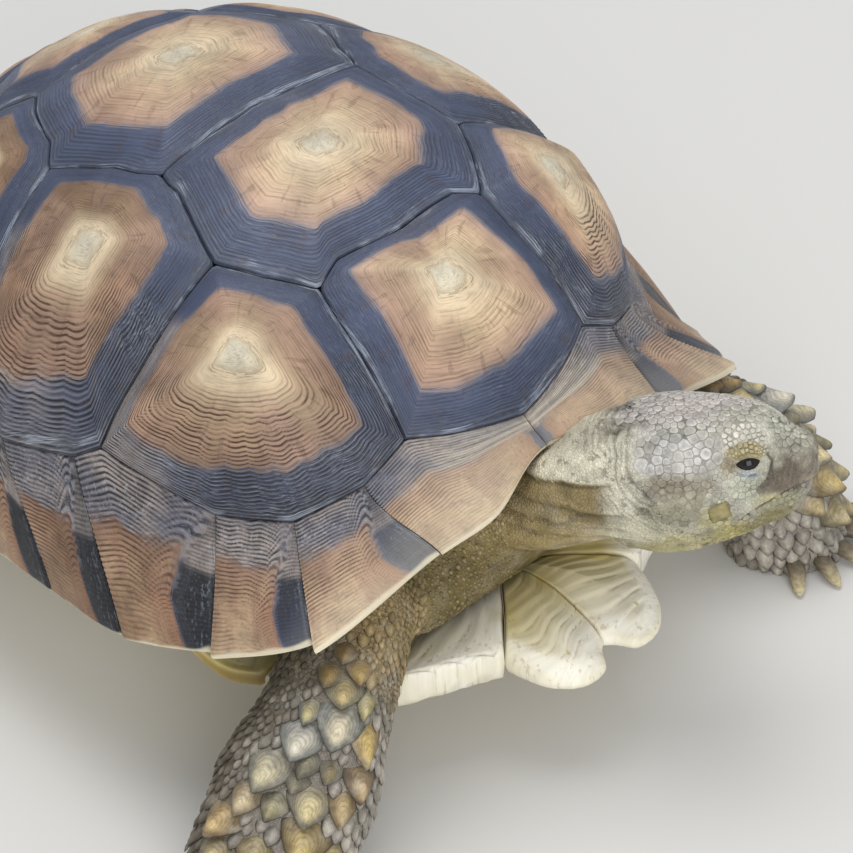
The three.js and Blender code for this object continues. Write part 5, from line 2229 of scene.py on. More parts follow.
@dataclass
class HideTint:
    """The hide's markings: blots of colour laid one over another."""

    pose: HeadPose
    # Pale flap skin with painted light on its top, and the neck skin under it with painted shade.
    flap: str = "cfc8b2"
    neck: str = "92815a"

    def at(self, points: np.ndarray) -> np.ndarray:
        """Linear colours at points on the animal.

        Args:
            points: N x 3 places, in millimetres.

        Returns:
            N x 3 colours.
        """
        local = self.pose.inverse(points)
        folded = left_folded(local)
        uneven = ripple(points, 14.0, 91) + 0.6 * ripple(points, 5.0, 92)
        tints = np.tile(rgb(BLOTS[0].tone), (len(points), 1))
        for blot in BLOTS[1:]:
            spots = folded if blot.on_head else points
            reach = np.linalg.norm((spots - np.array(blot.at)) / np.array(blot.size), axis=-1)
            edge = reach + blot.ragged * 0.4 * uneven
            share = blot.strength * (1 - smooth(edge, 1.1 - blot.softness, 1.1))
            tints += (rgb(blot.tone) - tints) * share[:, None]
        side, back, up = folded.T
        # The pale flap over the nape and the darker neck skin under its edge: their own colours, with painted
        # light on the flap's top and painted shade under it.
        above = up - flap_edge(back) + 0.3 * uneven
        nape = (side < 60) & (up < 60) & (back < 190)
        for tone, share in ((self.flap, smooth(above, -0.5, 0.7)), (self.neck, smooth(-above, -0.3, 0.9))):
            share = share * smooth(back, 84, 96) * nape * (1 - smooth(-above, 14, 30))
            tints += (rgb(tone) - tints) * share[:, None]
        # Painted shade: darker on the underside of the head and the neck's front part.
        under = smooth(-up, 4, 20) * (1 - smooth(back, 92, 110)) * nape
        return tints * (1 - 0.05 * nape - 0.14 * under)[:, None]


@dataclass(frozen=True)
class HideFinish:
    """The hide: its markings, wrinkles and fine grain, with painted shade in its grooves and wrinkles."""

    grain: float = 620.0
    # Colour of the painted shade in the skin's grooves and wrinkles.
    crease: str = "3c3428"
    dust: str = "d9d2bd"

    def build(self, effects: SharedEffects) -> bpy.types.Material:
        """Build the material.

        Args:
            effects: the shared node groups.

        Returns:
            The material.
        """
        tree = Paint("hide")
        place = tree.place()
        inputs = {"Vector": place, "Scale": self.grain}
        cells = tree.add("TexVoronoi", inputs, feature="DISTANCE_TO_EDGE").outputs[0]
        wrinkle = tree.noise(tree.stretched(place, (1.0, 1.0, 1.6)), 140.0, 5.0, 0.65)
        tone = tree.between(tree.noise(place, 90.0, 6.0, 0.72), 0.3, 0.7, (0.73, 1.22))
        base = tree.blend(1.0, tree.vector_of("tint"), tree.grey(tone), "MULTIPLY")
        # Painted shade in the grooves between the skin's cells and in its wrinkles.
        seams = tree.times(tree.between(cells, 0.09, 0.0), 0.36)
        base = tree.over(base, seams, self.crease)
        creases = tree.times(tree.between(wrinkle, 0.45, 0.33), 0.55)
        base = tree.over(base, creases, self.crease)
        base = tree.over(base, tree.times(effects.dusted(tree, 55.0, 0.35), 0.3), self.dust)
        height = tree.math("ADD", tree.between(cells, 0.0, 0.25), tree.times(wrinkle, 2.0))
        bump = tree.bump(0.6, 0.0005, height)
        sheen = {"Roughness": 0.62, "Specular IOR Level": 0.3}
        return tree.finished({"Base Color": base, **sheen, "Normal": bump})


# -------------------------------------------------------------------------------- plastron


@dataclass(frozen=True)
class BellyPlate:
    """One pair of belly plates: its outline in plan, where its growth started and its free edge."""

    name: str
    outline: tuple[tuple[float, float], ...]
    centre: tuple[float, float]
    free: tuple[int, int] = (0, 0)
    bulge: float = 0.0
    rounding: float = 3.0


BELLY_PLATES = (
    BellyPlate(
        "gular",
        ((0, -162), (24, -190), (43, -210), (37, -229), (25, -241), (11, -242), (4, -233), (0, -230)),
        (22, -230),
        (2, 7),
        3.0,
        9.0,
    ),
    BellyPlate(
        "humeral",
        ((0, -162), (0, -114), (70, -121), (119, -130), (112, -162), (90, -188), (43, -210), (24, -190)),
        (101, -158),
        (3, 6),
    ),
    BellyPlate(
        "pectoral",
        ((0, -114), (0, -74), (90, -62), (165, -48), (165, -82), (140, -102), (119, -130), (70, -121)),
        (120, -90),
    ),
    BellyPlate(
        "abdominal",
        ((0, -74), (0, 62), (70, 80), (124, 104), (146, 96), (165, 78), (165, -48), (90, -62)),
        (125, 40),
    ),
    BellyPlate(
        "femoral",
        ((0, 62), (0, 150), (45, 168), (84, 186), (110, 152), (124, 104), (70, 80)),
        (88, 150),
        (3, 5),
        0,
        4,
    ),
    BellyPlate(
        "anal",
        ((0, 150), (0, 200), (28, 228), (56, 220), (84, 186), (45, 168)),
        (44, 205),
        (1, 4),
        0,
        4,
    ),
)


@dataclass
class Plastron:
    """The belly plates."""

    site: Site
    material: bpy.types.Material
    underside: float = 42
    front_rise: float = 8
    thickness: float = 9
    lip_thickness: float = 20
    lip_start: float = -140
    tip_drop: float = 10
    bridge_start: float = 95
    bridge_span: float = 74
    bridge_rise: float = 48
    ridges: int = 17
    ridge_crest: float = 0.75
    seam_gap: float = 0.15
    seam_rounding: float = 1.3
    sectors: int = 88

    def bottom(self, x: np.ndarray, y: np.ndarray) -> np.ndarray:
        """Height of the under face.

        Args:
            x: places across the animal.
            y: places along it.

        Returns:
            The height at each.
        """
        wing = smooth((np.abs(x) - self.bridge_start) / self.bridge_span)
        bridge = smooth((120 - np.abs(y)) / 30)
        lip = self.front_rise * smooth((self.lip_start - y) / 60)
        return self.underside + self.bridge_rise * wing * bridge + lip

    def top(self, x: np.ndarray, y: np.ndarray) -> np.ndarray:
        """Height of the upper face.

        Args:
            x: places across the animal.
            y: places along it.

        Returns:
            The height at each.
        """
        lip = smooth((self.lip_start - y) / 45)
        thickness = self.thickness + (self.lip_thickness - self.thickness) * lip
        return self.bottom(x, y) + thickness - self.tip_drop * smooth((-195 - y) / 50)

    def outline(self, plate: BellyPlate) -> tuple[np.ndarray, np.ndarray]:
        """Spread points along a plate's outline.

        Args:
            plate: the plate.

        Returns:
            Even points along its whole outline, and close points along its free edge, which is rounded.
        """
        corners = np.array(plate.outline, dtype=float)
        first, last = plate.free
        legs = []
        for index, start in enumerate(corners):
            end = corners[(index + 1) % len(corners)]
            t = np.linspace(0, 1, 30, endpoint=False)
            if first <= index < last:
                legs.append(spline(corners[first : last + 1], index - first + t))
            else:
                legs.append(start + (end - start) * t[:, None])
        free = np.concatenate(legs[first:last]) if last > first else np.full((1, 2), 1e4)
        return evenly(np.concatenate(legs), self.sectors), free

    def plate(self, plate: BellyPlate, side: Side, seed: int) -> bpy.types.Object:
        """Build one belly plate as a closed piece.

        Args:
            plate: the plate.
            side: the animal's side that it is on.
            seed: picks its small unevenness.

        Returns:
            The piece.
        """
        edge, free = self.outline(plate)
        centre = np.array(plate.centre, dtype=float)
        width = np.linalg.norm(edge - centre, axis=-1)
        edge = edge + (centre - edge) * (self.seam_gap / width)[:, None]
        shares = np.concatenate([np.linspace(0.05, 0.93, 46), [0.955, 0.975, 0.988, 0.996, 1.0]])
        spots = centre + (edge - centre) * shares[:, None, None]
        share = np.broadcast_to(shares[:, None], spots.shape[:2])
        gap = np.linalg.norm(spots[:, :, None] - free[None, None, ::3], axis=-1).min(axis=-1)
        seam = (1 - share) * width
        profile = np.ones_like(share)
        for distance, radius in ((gap, plate.rounding), (seam, self.seam_rounding)):
            profile = profile * np.sqrt(np.maximum(1 - (1 - np.minimum(distance / radius, 1)) ** 2, 0))
        x, y = spots[..., 0], spots[..., 1]
        high, low = self.top(x, y), self.bottom(x, y)
        middle = (high + low) / 2
        place = np.concatenate([spots / 30, np.zeros((*share.shape, 1))], axis=-1)
        far_side, far_end = edge.max(axis=0)
        rear = np.array([0.5 * centre[0] + 0.5 * far_side, far_end + 0.3 * np.ptp(edge[:, 1])])
        across = np.linalg.norm(spots - rear, axis=-1)
        growth = across / across.max() + 0.02 * ripple(place, 1.2, seed)
        wave = ridge_profile(growth * self.ridges + 0.35 * ripple(place, 2.5, seed + 1), self.ridge_crest)
        dome = plate.bulge * (1 - smooth(share, 0.2, 1.0))
        relief = 0.5 * (wave - 0.5) * smooth(1 - share, 0, 0.06) * smooth(gap, 3.0, 12.0)
        top = middle + (high - middle + dome + relief) * profile
        base = middle + (low - middle - 0.3 * (wave - 0.5)) * profile
        back = slice(None, None, -2)
        rows = np.concatenate([np.dstack([x, y, top]), np.dstack([x, y, base])[back][1:]])
        mid = np.array([*centre, 0.0])
        tip = self.top(*centre) + plate.bulge
        ends = np.array([mid + (0, 0, tip), mid + (0, 0, self.bottom(*centre))])
        spoke = unit(edge - centre)
        level = np.concatenate([spoke, np.zeros((self.sectors, 1))], axis=-1)
        ring = np.broadcast_to(level, (*share.shape, 3))

        def both(values: np.ndarray) -> np.ndarray:
            """Values on the upper rows, and again on the lower rows."""
            return np.concatenate([values, values[back][1:]])

        attributes = {
            "growth": (both(growth), 0.0, 0.0),
            "ridge": (both(wave), 1.0, 1.0),
            "age": (both(share), 0.0, 0.0),
            "spoke": (both(ring), (0, 0, 0), (0, 0, 0)),
            "rim": (both(1 - smooth(gap, 5.0, 16.0)), 0.0, 0.0),
        }
        points, faces, values = closed_rings(rows, ends, attributes)
        points, faces = on_side(points, faces, side)
        name = f"plastron_{plate.name}_{side.word}"
        piece = add_mesh(name, self.site.metres(points), faces, values)
        return finish_piece(piece, self.material, [name])

    def build(self) -> None:
        """Build every belly plate."""
        for index, plate in enumerate(BELLY_PLATES):
            for side in Side:
                self.plate(plate, side, 600 + index * 10 + side.value)


@dataclass(frozen=True)
class IvoryFinish:
    """The belly plates' horn: ivory with fine brown growth lines and olive stains."""

    ivory: str = "f6f2e4"
    stain: str = "cdb95f"
    line: str = "94743c"

    def build(self, effects: SharedEffects) -> bpy.types.Material:
        """Build the material.

        Args:
            effects: the shared node groups.

        Returns:
            The material.
        """
        tree = Paint("ivory")
        growth = tree.value_of("growth")
        share = tree.value_of("age")
        place = tree.place()
        lines = effects.lines(tree, growth, 60.0, 1.6)
        free = tree.value_of("rim")
        old = tree.between(tree.noise(place, 16.0), 0.4, 0.7)
        old = tree.times(old, tree.math("SUBTRACT", 1.0, tree.times(free, 0.8)))
        rear = tree.times(tree.between(growth, 1.0, 0.5), tree.between(free, 1.0, 0.6, (0.4, 1.0)))
        old = tree.math("MAXIMUM", tree.times(old, 0.45), tree.times(rear, 0.7))
        base = tree.blend(old, colour(self.ivory), colour(self.stain))
        cloudy = tree.between(tree.noise(place, 34.0), 0.35, 0.6)
        at_seam = tree.times(tree.between(share, 0.72, 0.95), cloudy)
        faded = tree.math("SUBTRACT", 0.7, tree.times(free, 0.5))
        base = tree.over(base, tree.times(at_seam, faded), self.stain)
        tone = tree.between(lines.outputs["Lines"], 0.3, 0.7, (0.92, 1.06))
        base = tree.toned(base, tone)
        groove = tree.times(tree.between(tree.value_of("ridge"), 0.22, 0.0), 0.55)
        patchy = tree.between(tree.noise(place, 60.0), 0.42, 0.62)
        patchy = tree.times(patchy, tree.between(free, 1.0, 0.4))
        base = tree.over(base, tree.times(groove, patchy), self.line)
        down = tree.noise(tree.stretched(place, (1.0, 1.0, 0.06)), 420.0, 3.0)
        striae = tree.times(tree.between(down, 0.56, 0.68, (0.0, 0.35)), free)
        base = tree.over(base, striae, self.line)
        edge = tree.math("SUBTRACT", tree.between(share, 0.975, 1.0), free)
        base = tree.over(base, tree.times(edge, 0.7, clamp=True), self.line)
        bump = tree.bump(0.3, 0.0005, lines.outputs["Lines"])
        return tree.finished({"Base Color": base, "Roughness": 0.45, "Normal": bump})


# -------------------------------------------------------------------------------- eyes and claws


@dataclass
class Eyes:
    """The two eyeballs."""

    site: Site
    pose: HeadPose
    eye: Eye = field(default_factory=Eye)
    rows: int = 26
    sides: int = 40

    def ball(self, side: Side) -> bpy.types.Object:
        """Build one eyeball, its pole at the pupil.

        Args:
            side: the side that it is on.

        Returns:
            The eyeball.
        """
        out, back, up = self.eye.axes()
        angle = np.linspace(0, math.pi, self.rows)[1:-1]
        turn = np.linspace(0, 2 * math.pi, self.sides, endpoint=False)
        ring = np.cos(turn)[:, None] * back + np.sin(turn)[:, None] * up
        cornea = 0.35 * bump_line(angle, 0.5)
        reach = self.eye.radius - 0.1 + cornea
        rows = out * (np.cos(angle) * reach)[:, None, None] + ring * (np.sin(angle) * reach)[:, None, None]
        ends = np.array([out * (self.eye.radius + 0.25), -out * self.eye.radius])
        spread = np.broadcast_to(angle[:, None], rows.shape[:2])
        points, faces, values = closed_rings(rows, ends, {"growth": (spread, 0.0, math.pi)})
        points, faces = on_side(points + np.array(self.eye.centre), faces, side)
        return add_mesh(f"eye_{side.word}_ball", self.site.metres(self.pose.place(points)), faces, values)

    @staticmethod
    def finish() -> bpy.types.Material:
        """Build a near-black eye with a dark brown iris under a wet cornea.

        Returns:
            The material.
        """
        tree = Paint("eye")
        angle = tree.value_of("growth")
        streaks = tree.noise(tree.place(), 900.0, 3.0)
        iris = tree.blend(streaks, colour("120e0d"), colour("241b16"))
        base = tree.blend(tree.between(angle, 0.24, 0.3), colour("050505"), iris)
        base = tree.over(base, tree.between(angle, 0.58, 0.66), "2b2622")
        inputs = {"Base Color": base, "Roughness": 0.3, "Specular IOR Level": 0.1}
        return tree.finished({**inputs, "Coat Weight": 0.6, "Coat Roughness": 0.02})

    def build(self) -> None:
        """Build both eyes."""
        material = self.finish()
        for side in Side:
            finish_piece(self.ball(side), material, [f"eye_{side.word}"])


@dataclass(frozen=True)
class Foot:
    """Where a foot's claws stand: its place, the way it points and the size of its claws."""

    at: tuple[float, float]
    bearing: float
    reach: float
    count: int
    spread: float
    length: float
    radius: float
    height: float = 8.0


FEET = {
    "foreleg_right": Foot((-188, -195), -38, 26, 5, 104, 20, 5.5),
    "foreleg_left": Foot((157, -203), 12, 26, 5, 104, 20, 5.5),
    "hindleg_left": Foot((131, 189), 24, 32, 4, 84, 19, 6),
    "hindleg_right": Foot((-131, 189), -24, 32, 4, 84, 19, 6),
}


@dataclass
class Claws:
    """Blunt, worn claws in a fan round the front of each foot."""

    site: Site
    material: bpy.types.Material
    rows: int = 22
    sides: int = 20

    def claw(self, foot: Foot, index: int) -> tuple[np.ndarray, list, dict]:
        """Build one claw.

        Args:
            foot: the foot that it is on.
            index: which of the foot's claws it is.

        Returns:
            Its points, its faces and its growth on each point.
        """
        angle = math.radians(foot.bearing + foot.spread * (index / (foot.count - 1) - 0.5))
        heading = np.array([math.sin(angle), -math.cos(angle), 0.0])
        across = np.array([math.cos(angle), math.sin(angle), 0.0])
        base = np.array([*foot.at, foot.height]) + heading * foot.reach
        share = np.linspace(-0.4, 1.0, self.rows)
        size = np.interp(share, (-0.4, 0.5, 0.85, 1.0), (0.9, 0.8, 0.52, 0.16)) * foot.radius
        size = size * (1 + 0.02 * np.sin(share * 40 + index))
        drop = np.interp(share, (0, 0.5, 1), (0, 0.1, 0.27)) * foot.length
        turn = np.linspace(0, 2 * math.pi, self.sides, endpoint=False)
        ring = across * np.cos(turn)[:, None] + np.array([0, 0, 0.8]) * np.sin(turn)[:, None]
        middle = base + heading * (share * foot.length)[:, None] - np.array([0, 0, 1.0]) * drop[:, None]
        rows = middle[:, None] + ring * size[:, None, None]
        rows[..., 2] = np.maximum(rows[..., 2], 0.2)
        growth = np.broadcast_to(share[:, None], rows.shape[:2])
        return closed_rings(rows, middle[[0, -1]], {"growth": (growth, -0.4, 1.0)})

    def build(self) -> None:
        """Build the claws of each foot as one piece."""
        for name, foot in FEET.items():
            claws = [self.claw(foot, index) for index in range(foot.count)]
            points, faces = merged(claws)
            growth = np.concatenate([values["growth"] for _, _, values in claws])
            piece = add_mesh("claws_" + name, self.site.metres(points), faces, {"growth": growth})
            finish_piece(piece, self.material, [])


def claw_finish() -> bpy.types.Material:
    """Build grey-brown claw horn, paler towards its tip.

    Returns:
        The material.
    """
    tree = Paint("claw")
    base = tree.ramp(tree.value_of("growth"), [(0.0, "4f463a"), (0.5, "7d705a"), (1.0, "c9bb92")])
    tone = tree.between(tree.noise(tree.stretched(tree.place(), (1, 1, 3)), 260.0), 0.3, 0.7, (0.7, 1.2))
    base = tree.toned(base, tone)
    return tree.finished({"Base Color": base, "Roughness": 0.5})


# -------------------------------------------------------------------------------- scales


@dataclass(frozen=True)
class PetalShape:
    """A scale one unit long and one wide, root at -0.5 along Y and tip at 0.5, lying on the XY plane."""

    rows: int
    top: int
    under: int
    width: tuple[tuple[float, float], ...]
    height: tuple[tuple[float, float], ...]
    lift: float = 0.04
    keel: float = 0.3
    tip: float = 0.66

    def build(self, name: str) -> bpy.types.Object:
        """Make the shape as an object that Geometry Nodes can copy.

        Args:
            name: the object's name.

        Returns:
            The object.
        """
        v = 0.5 - 0.5 * np.cos(np.linspace(0.0, 1.0, self.rows + 2)[1:-1] * math.pi)
        half = np.interp(v, *zip(*self.width))
        high = np.interp(v, *zip(*self.height))
        low = -0.1 + (0.1 + self.lift) * v**2
        over = np.cos(np.linspace(math.pi, 0, self.top))
        under = np.linspace(1, -1, self.under + 2)[1:-1]
        u = np.concatenate([over, under])
        bow = (1 - over**2) ** 0.7 * (1 - self.keel) + (1 - np.abs(over)) ** 1.1 * self.keel
        arch = np.concatenate([bow, np.zeros(self.under)])
        x = half[:, None] * u
        y = np.broadcast_to((v - 0.5)[:, None], x.shape)
        z = low[:, None] + (high - low)[:, None] * arch
        rows = np.stack([x, y, z], axis=-1)
        ends = np.array([(0, -0.5, -0.08), (0, 0.5, (self.height[-1][1] + self.lift) / 2)])
        behind = np.where(v < self.tip, (self.tip - v) / self.tip, (v - self.tip) / (1 - self.tip))
        growth = np.clip(1 - np.hypot(np.broadcast_to(np.abs(u), x.shape) ** 1.3, behind[:, None]), 0, 1)
        growth[:, self.top :] = 0
        spot = rows * (1, 1, 0)
        attributes = {"growth": (growth, 0.0, 0.0), "spot": (spot, (0, -0.5, 0), (0, 0.5, 0))}
        points, faces, values = closed_rings(rows, ends, attributes)
        return add_mesh(name, points, faces, values)


SHIELD = PetalShape(
    12,
    13,
    3,
    ((0, 0.22), (0.12, 0.42), (0.32, 0.5), (0.5, 0.47), (0.7, 0.34), (0.86, 0.18), (0.95, 0.09), (1, 0.03)),
    ((0, 0.0), (0.2, 0.1), (0.45, 0.22), (0.7, 0.36), (0.85, 0.4), (0.95, 0.34), (1, 0.22)),
    0.15,
    0.7,
    0.8,
)
LEAF = PetalShape(
    5,
    5,
    1,
    ((0, 0.2), (0.2, 0.44), (0.45, 0.5), (0.75, 0.36), (1, 0.06)),
    ((0, 0.0), (0.3, 0.12), (0.7, 0.22), (1, 0.1)),
    0.06,
)
BEAD = PetalShape(
    3,
    4,
    1,
    ((0, 0.15), (0.3, 0.48), (0.6, 0.48), (1, 0.12)),
    ((0, 0.0), (0.3, 0.26), (0.65, 0.28), (1, 0.02)),
    0.0,
)


@dataclass
class Spots:
    """Places for scales, with how each faces and lies, its sizes, its colours and its root on the chart."""

    place: np.ndarray
    normal: np.ndarray
    lie: np.ndarray
    size: np.ndarray
    tint: np.ndarray
    tip: np.ndarray
    root: np.ndarray

    def turns(self, tilt: float) -> np.ndarray:
        """Rotations that lay each scale along its lie and tilt its tip up.

        Args:
            tilt: how far the tips stand up, in radians.

        Returns:
            N x 3 Euler angles.
        """
        lie = unit(self.lie - self.normal * np.einsum("ij,ij->i", self.lie, self.normal)[:, None])
        y = unit(lie * math.cos(tilt) + self.normal * math.sin(tilt))
        z = unit(self.normal * math.cos(tilt) - lie * math.sin(tilt))
        x = np.cross(y, z)
        matrices = np.stack([x, y, z], axis=-1)
        return np.array([Matrix(matrix.tolist()).to_euler() for matrix in matrices]).reshape(-1, 3)


class Chart(Enum):
    """Tiles of the unwrapped skin, each a limb or the head slit open and laid flat."""

    HEAD = 0
    NECK = 1
    foreleg_right = 2
    foreleg_left = 3
    hindleg_left = 4
    hindleg_right = 5
    TAIL = 6
    BREAST = 7

    def spot(self, turn: np.ndarray, along: np.ndarray) -> np.ndarray:
        """Place on the chart.

        Args:
            turn: share of the way round the limb.
            along: share of the way along it.

        Returns:
            N x 2 chart places between 0 and 1.
        """
        column, row = self.value % 2, self.value // 2
        across = 0.01 + 0.48 * np.mod(turn, 1.0) + 0.5 * column
        upward = 0.01 + 0.23 * np.clip(along, 0, 1) + 0.25 * row
        return np.stack([across, upward], axis=-1)


class ScaleCoat:
    """Scales copied onto the skin by Geometry Nodes and joined into plain meshes."""

    floor = 0.3

    def __init__(self, site: Site, skin: bpy.types.Object, tint: HideTint) -> None:
        """Take hold of the skin that the scales lie on.

        Args:
            site: where the animal stands.
            skin: the finished skin.
            tint: the animal's markings.
        """
        self.site = site
        self.tint = tint
        self.points = site.millimetres(mesh_points(skin.data))
        self.normals = mesh_normals(skin.data)
        polygons = [list(polygon.vertices) for polygon in skin.data.polygons]
        self.surface = BVHTree.FromPolygons([Vector(point) for point in self.points], polygons)
        self.polygons = polygons

    def settle(self, places: np.ndarray) -> tuple[np.ndarray, np.ndarray]:
        """Bring places onto the skin.

        Args:
            places: N x 3 places, in millimetres.

        Returns:
            The nearest places on the skin, and the smooth normals there.
        """
        spots, normals = np.empty_like(places), np.empty_like(places)
        for index, place in enumerate(places):
            spot, _, face, _ = self.surface.find_nearest(Vector(place))
            spots[index] = spot
            normals[index] = self.normals[self.polygons[face]].mean(axis=0)
        return spots, unit(normals)

    @staticmethod
    def tree() -> bpy.types.GeometryNodeTree:
        """Build geometry nodes that copy a shape onto every point, by the point's own turn and size.

        Returns:
            The node tree.
        """
        tree = bpy.data.node_groups.new("scale_coat", "GeometryNodeTree")
        for name, kind in (("Points", "Geometry"), ("Shape", "Object"), ("Finish", "Material")):
            tree.interface.new_socket(name, in_out="INPUT", socket_type="NodeSocket" + kind)
        tree.interface.new_socket("Coat", in_out="OUTPUT", socket_type="NodeSocketGeometry")
        nodes, links = tree.nodes, tree.links
        start = nodes.new("NodeGroupInput")
        end = nodes.new("NodeGroupOutput")
        info = nodes.new("GeometryNodeObjectInfo")
        copies = nodes.new("GeometryNodeInstanceOnPoints")
        real = nodes.new("GeometryNodeRealizeInstances")
        paint = nodes.new("GeometryNodeSetMaterial")
        for name, socket in (("turn", "Rotation"), ("size", "Scale")):
            attribute = nodes.new("GeometryNodeInputNamedAttribute")
            attribute.data_type = "FLOAT_VECTOR"
            attribute.inputs["Name"].default_value = name
            links.new(attribute.outputs["Attribute"], copies.inputs[socket])
        for giver, output, taker, socket in (
            (start, "Shape", info, "Object"),
            (start, "Points", copies, "Points"),
            (info, "Geometry", copies, "Instance"),
            (copies, "Instances", real, "Geometry"),
            (real, "Geometry", paint, "Geometry"),
            (start, "Finish", paint, "Material"),
            (paint, "Geometry", end, "Coat"),
        ):
            links.new(giver.outputs[output], taker.inputs[socket])
        return tree

    def spread(
        self, name: str, spots: Spots, shape: PetalShape, material: bpy.types.Material, tilt: float
    ) -> bpy.types.Object:
        """Copy a shape onto spots and join the copies into one piece.

        Args:
            name: the piece's name.
            spots: where the scales go.
            shape: the scale's form.
            material: its finish.
            tilt: how far the tips stand up, in radians.

        Returns:
            The piece.
        """
        attributes = {
            "turn": spots.turns(tilt),
            "size": spots.size / 1000,
            "tint": spots.tint,
            "tip": spots.tip,
            "root": np.concatenate([spots.root, np.zeros((len(spots.root), 1))], axis=1),
        }
        carrier = add_mesh(name + "_points", self.site.metres(spots.place), [], attributes)
        form = shape.build(name + "_shape")
        modifier = carrier.modifiers.new("coat", "NODES")
        modifier.node_group = self.tree()
        identifiers = {item.name: item.identifier for item in modifier.node_group.interface.items_tree}
        modifier[identifiers["Shape"]] = form
        modifier[identifiers["Finish"]] = material
        mesh = baked(carrier)
        bpy.data.objects.remove(form)
        places = mesh_points(mesh)
        places[:, 2] = np.maximum(places[:, 2], self.floor / 1000)
        move_points(mesh, places)
        self.lay_map(mesh)
        shade_smooth(mesh)
        return finish_piece(in_scene(name, mesh), material, [])

    @staticmethod
    def lay_map(mesh: bpy.types.Mesh) -> None:
        """Write the map in which each scale is a small patch at its root's place on the chart.

        Args:
            mesh: the scales' mesh, which is changed.
        """
        patch = 0.003
        root, spot = (read_vectors(mesh.attributes[name].data, "vector")[:, :2] for name in ("root", "spot"))
        chart = root + spot * patch
        corners = np.empty(len(mesh.loops), dtype=np.int32)
        mesh.loops.foreach_get("vertex_index", corners)
        layer = mesh.uv_layers.new(name="OFBake")
        layer.data.foreach_set("uv", chart[corners].astype(np.float32).ravel())
        for name in ("root", "spot", "turn", "size"):
            if name in mesh.attributes:
                mesh.attributes.remove(mesh.attributes[name])


NO_PLACES = np.empty((0, 3))
NO_ROOM = np.empty(0)


def sow(
    places: np.ndarray, reach: np.ndarray, taken: np.ndarray = NO_PLACES, held: np.ndarray = NO_ROOM
) -> np.ndarray:
    """Choose places that keep their distance from one another.

    Args:
        places: candidates in order of preference.
        reach: how much room each needs all round.
        taken: places already used.
        held: the room that those need.

    Returns:
        Numbers of the candidates chosen.
    """
    size = len(places) + len(taken)
    spots, rooms = np.empty((size, 3)), np.empty(size)
    spots[: len(taken)], rooms[: len(taken)] = taken, held
    filled, chosen = len(taken), []
    for index, (place, room) in enumerate(zip(places, reach)):
        gap = np.linalg.norm(spots[:filled] - place, axis=1) - rooms[:filled]
        if filled == 0 or gap.min() > room:
            spots[filled], rooms[filled] = place, room
            filled += 1
            chosen.append(index)
    return np.array(chosen, dtype=int)


@dataclass(frozen=True)
class Shield:
    """A big pointed scale of a foreleg: place along and round it, width, length, and how it is coloured."""

    along: float
    turn: float
    width: float
    length: float
    tone: str
    tip: str = "d8cba6"


SHIELDS = (
    Shield(1.56, -80, 10, 9, "6f5f46", "a58a5a"),
    Shield(1.68, -64, 10, 10, "8c7650", "c3a76a"),
    Shield(1.78, -87, 11, 10, "6f6550", "b79a62"),
    Shield(1.72, -50, 7, 8, "8a7650", "c4ab78"),
    Shield(1.9, -74, 15, 12, "7d7763", "d3bd86"),
    Shield(1.94, -49, 8, 12, "8d855f", "cfc294"),
    Shield(2.17, -70, 18, 18, "7a7a72", "e0d3b4"),
    Shield(2.14, -93, 10, 11, "75736a", "cfc28c"),
    Shield(2.42, -92, 18, 16, "80807a", "ddd4c0"),
    Shield(2.22, -42, 13, 18, "917d57", "dcbf78"),
    Shield(2.88, -103, 18, 18, "7b776b", "d9cda9"),
    Shield(2.63, -84, 11, 12, "6c675c", "8f8870"),
    Shield(2.62, -66, 10, 10, "6c675c", "94855f"),
    Shield(2.62, -37, 14, 14, "6e5f4c", "cdb184"),
    Shield(3.33, -110, 13, 14, "82725a", "dcc9a2"),
    Shield(3.68, -122, 16, 15, "7d6a4c", "d3b682"),
    Shield(3.1, -73, 17, 16, "777062", "dccb9a"),
    Shield(2.9, -86, 11, 9, "6d675a", "8d876f"),
    Shield(3.28, -91, 12, 12, "6e6858", "a39a74"),
    Shield(3.5, -66, 19, 18, "77684a", "cdb479"),
    Shield(3.0, -47, 12, 14, "7d6a4c", "c8b184"),
    Shield(3.9, -92, 15, 15, "73684f", "cdbb8c"),
    Shield(4.1, -60, 16, 15, "73684f", "cdbb8c"),
    Shield(4.2, -118, 15, 14, "73684f", "c9b384"),
    Shield(3.6, -36, 14, 14, "73684f", "c9b384"),
    Shield(4.5, -85, 14, 13, "6f6450", "c5b285"),
)
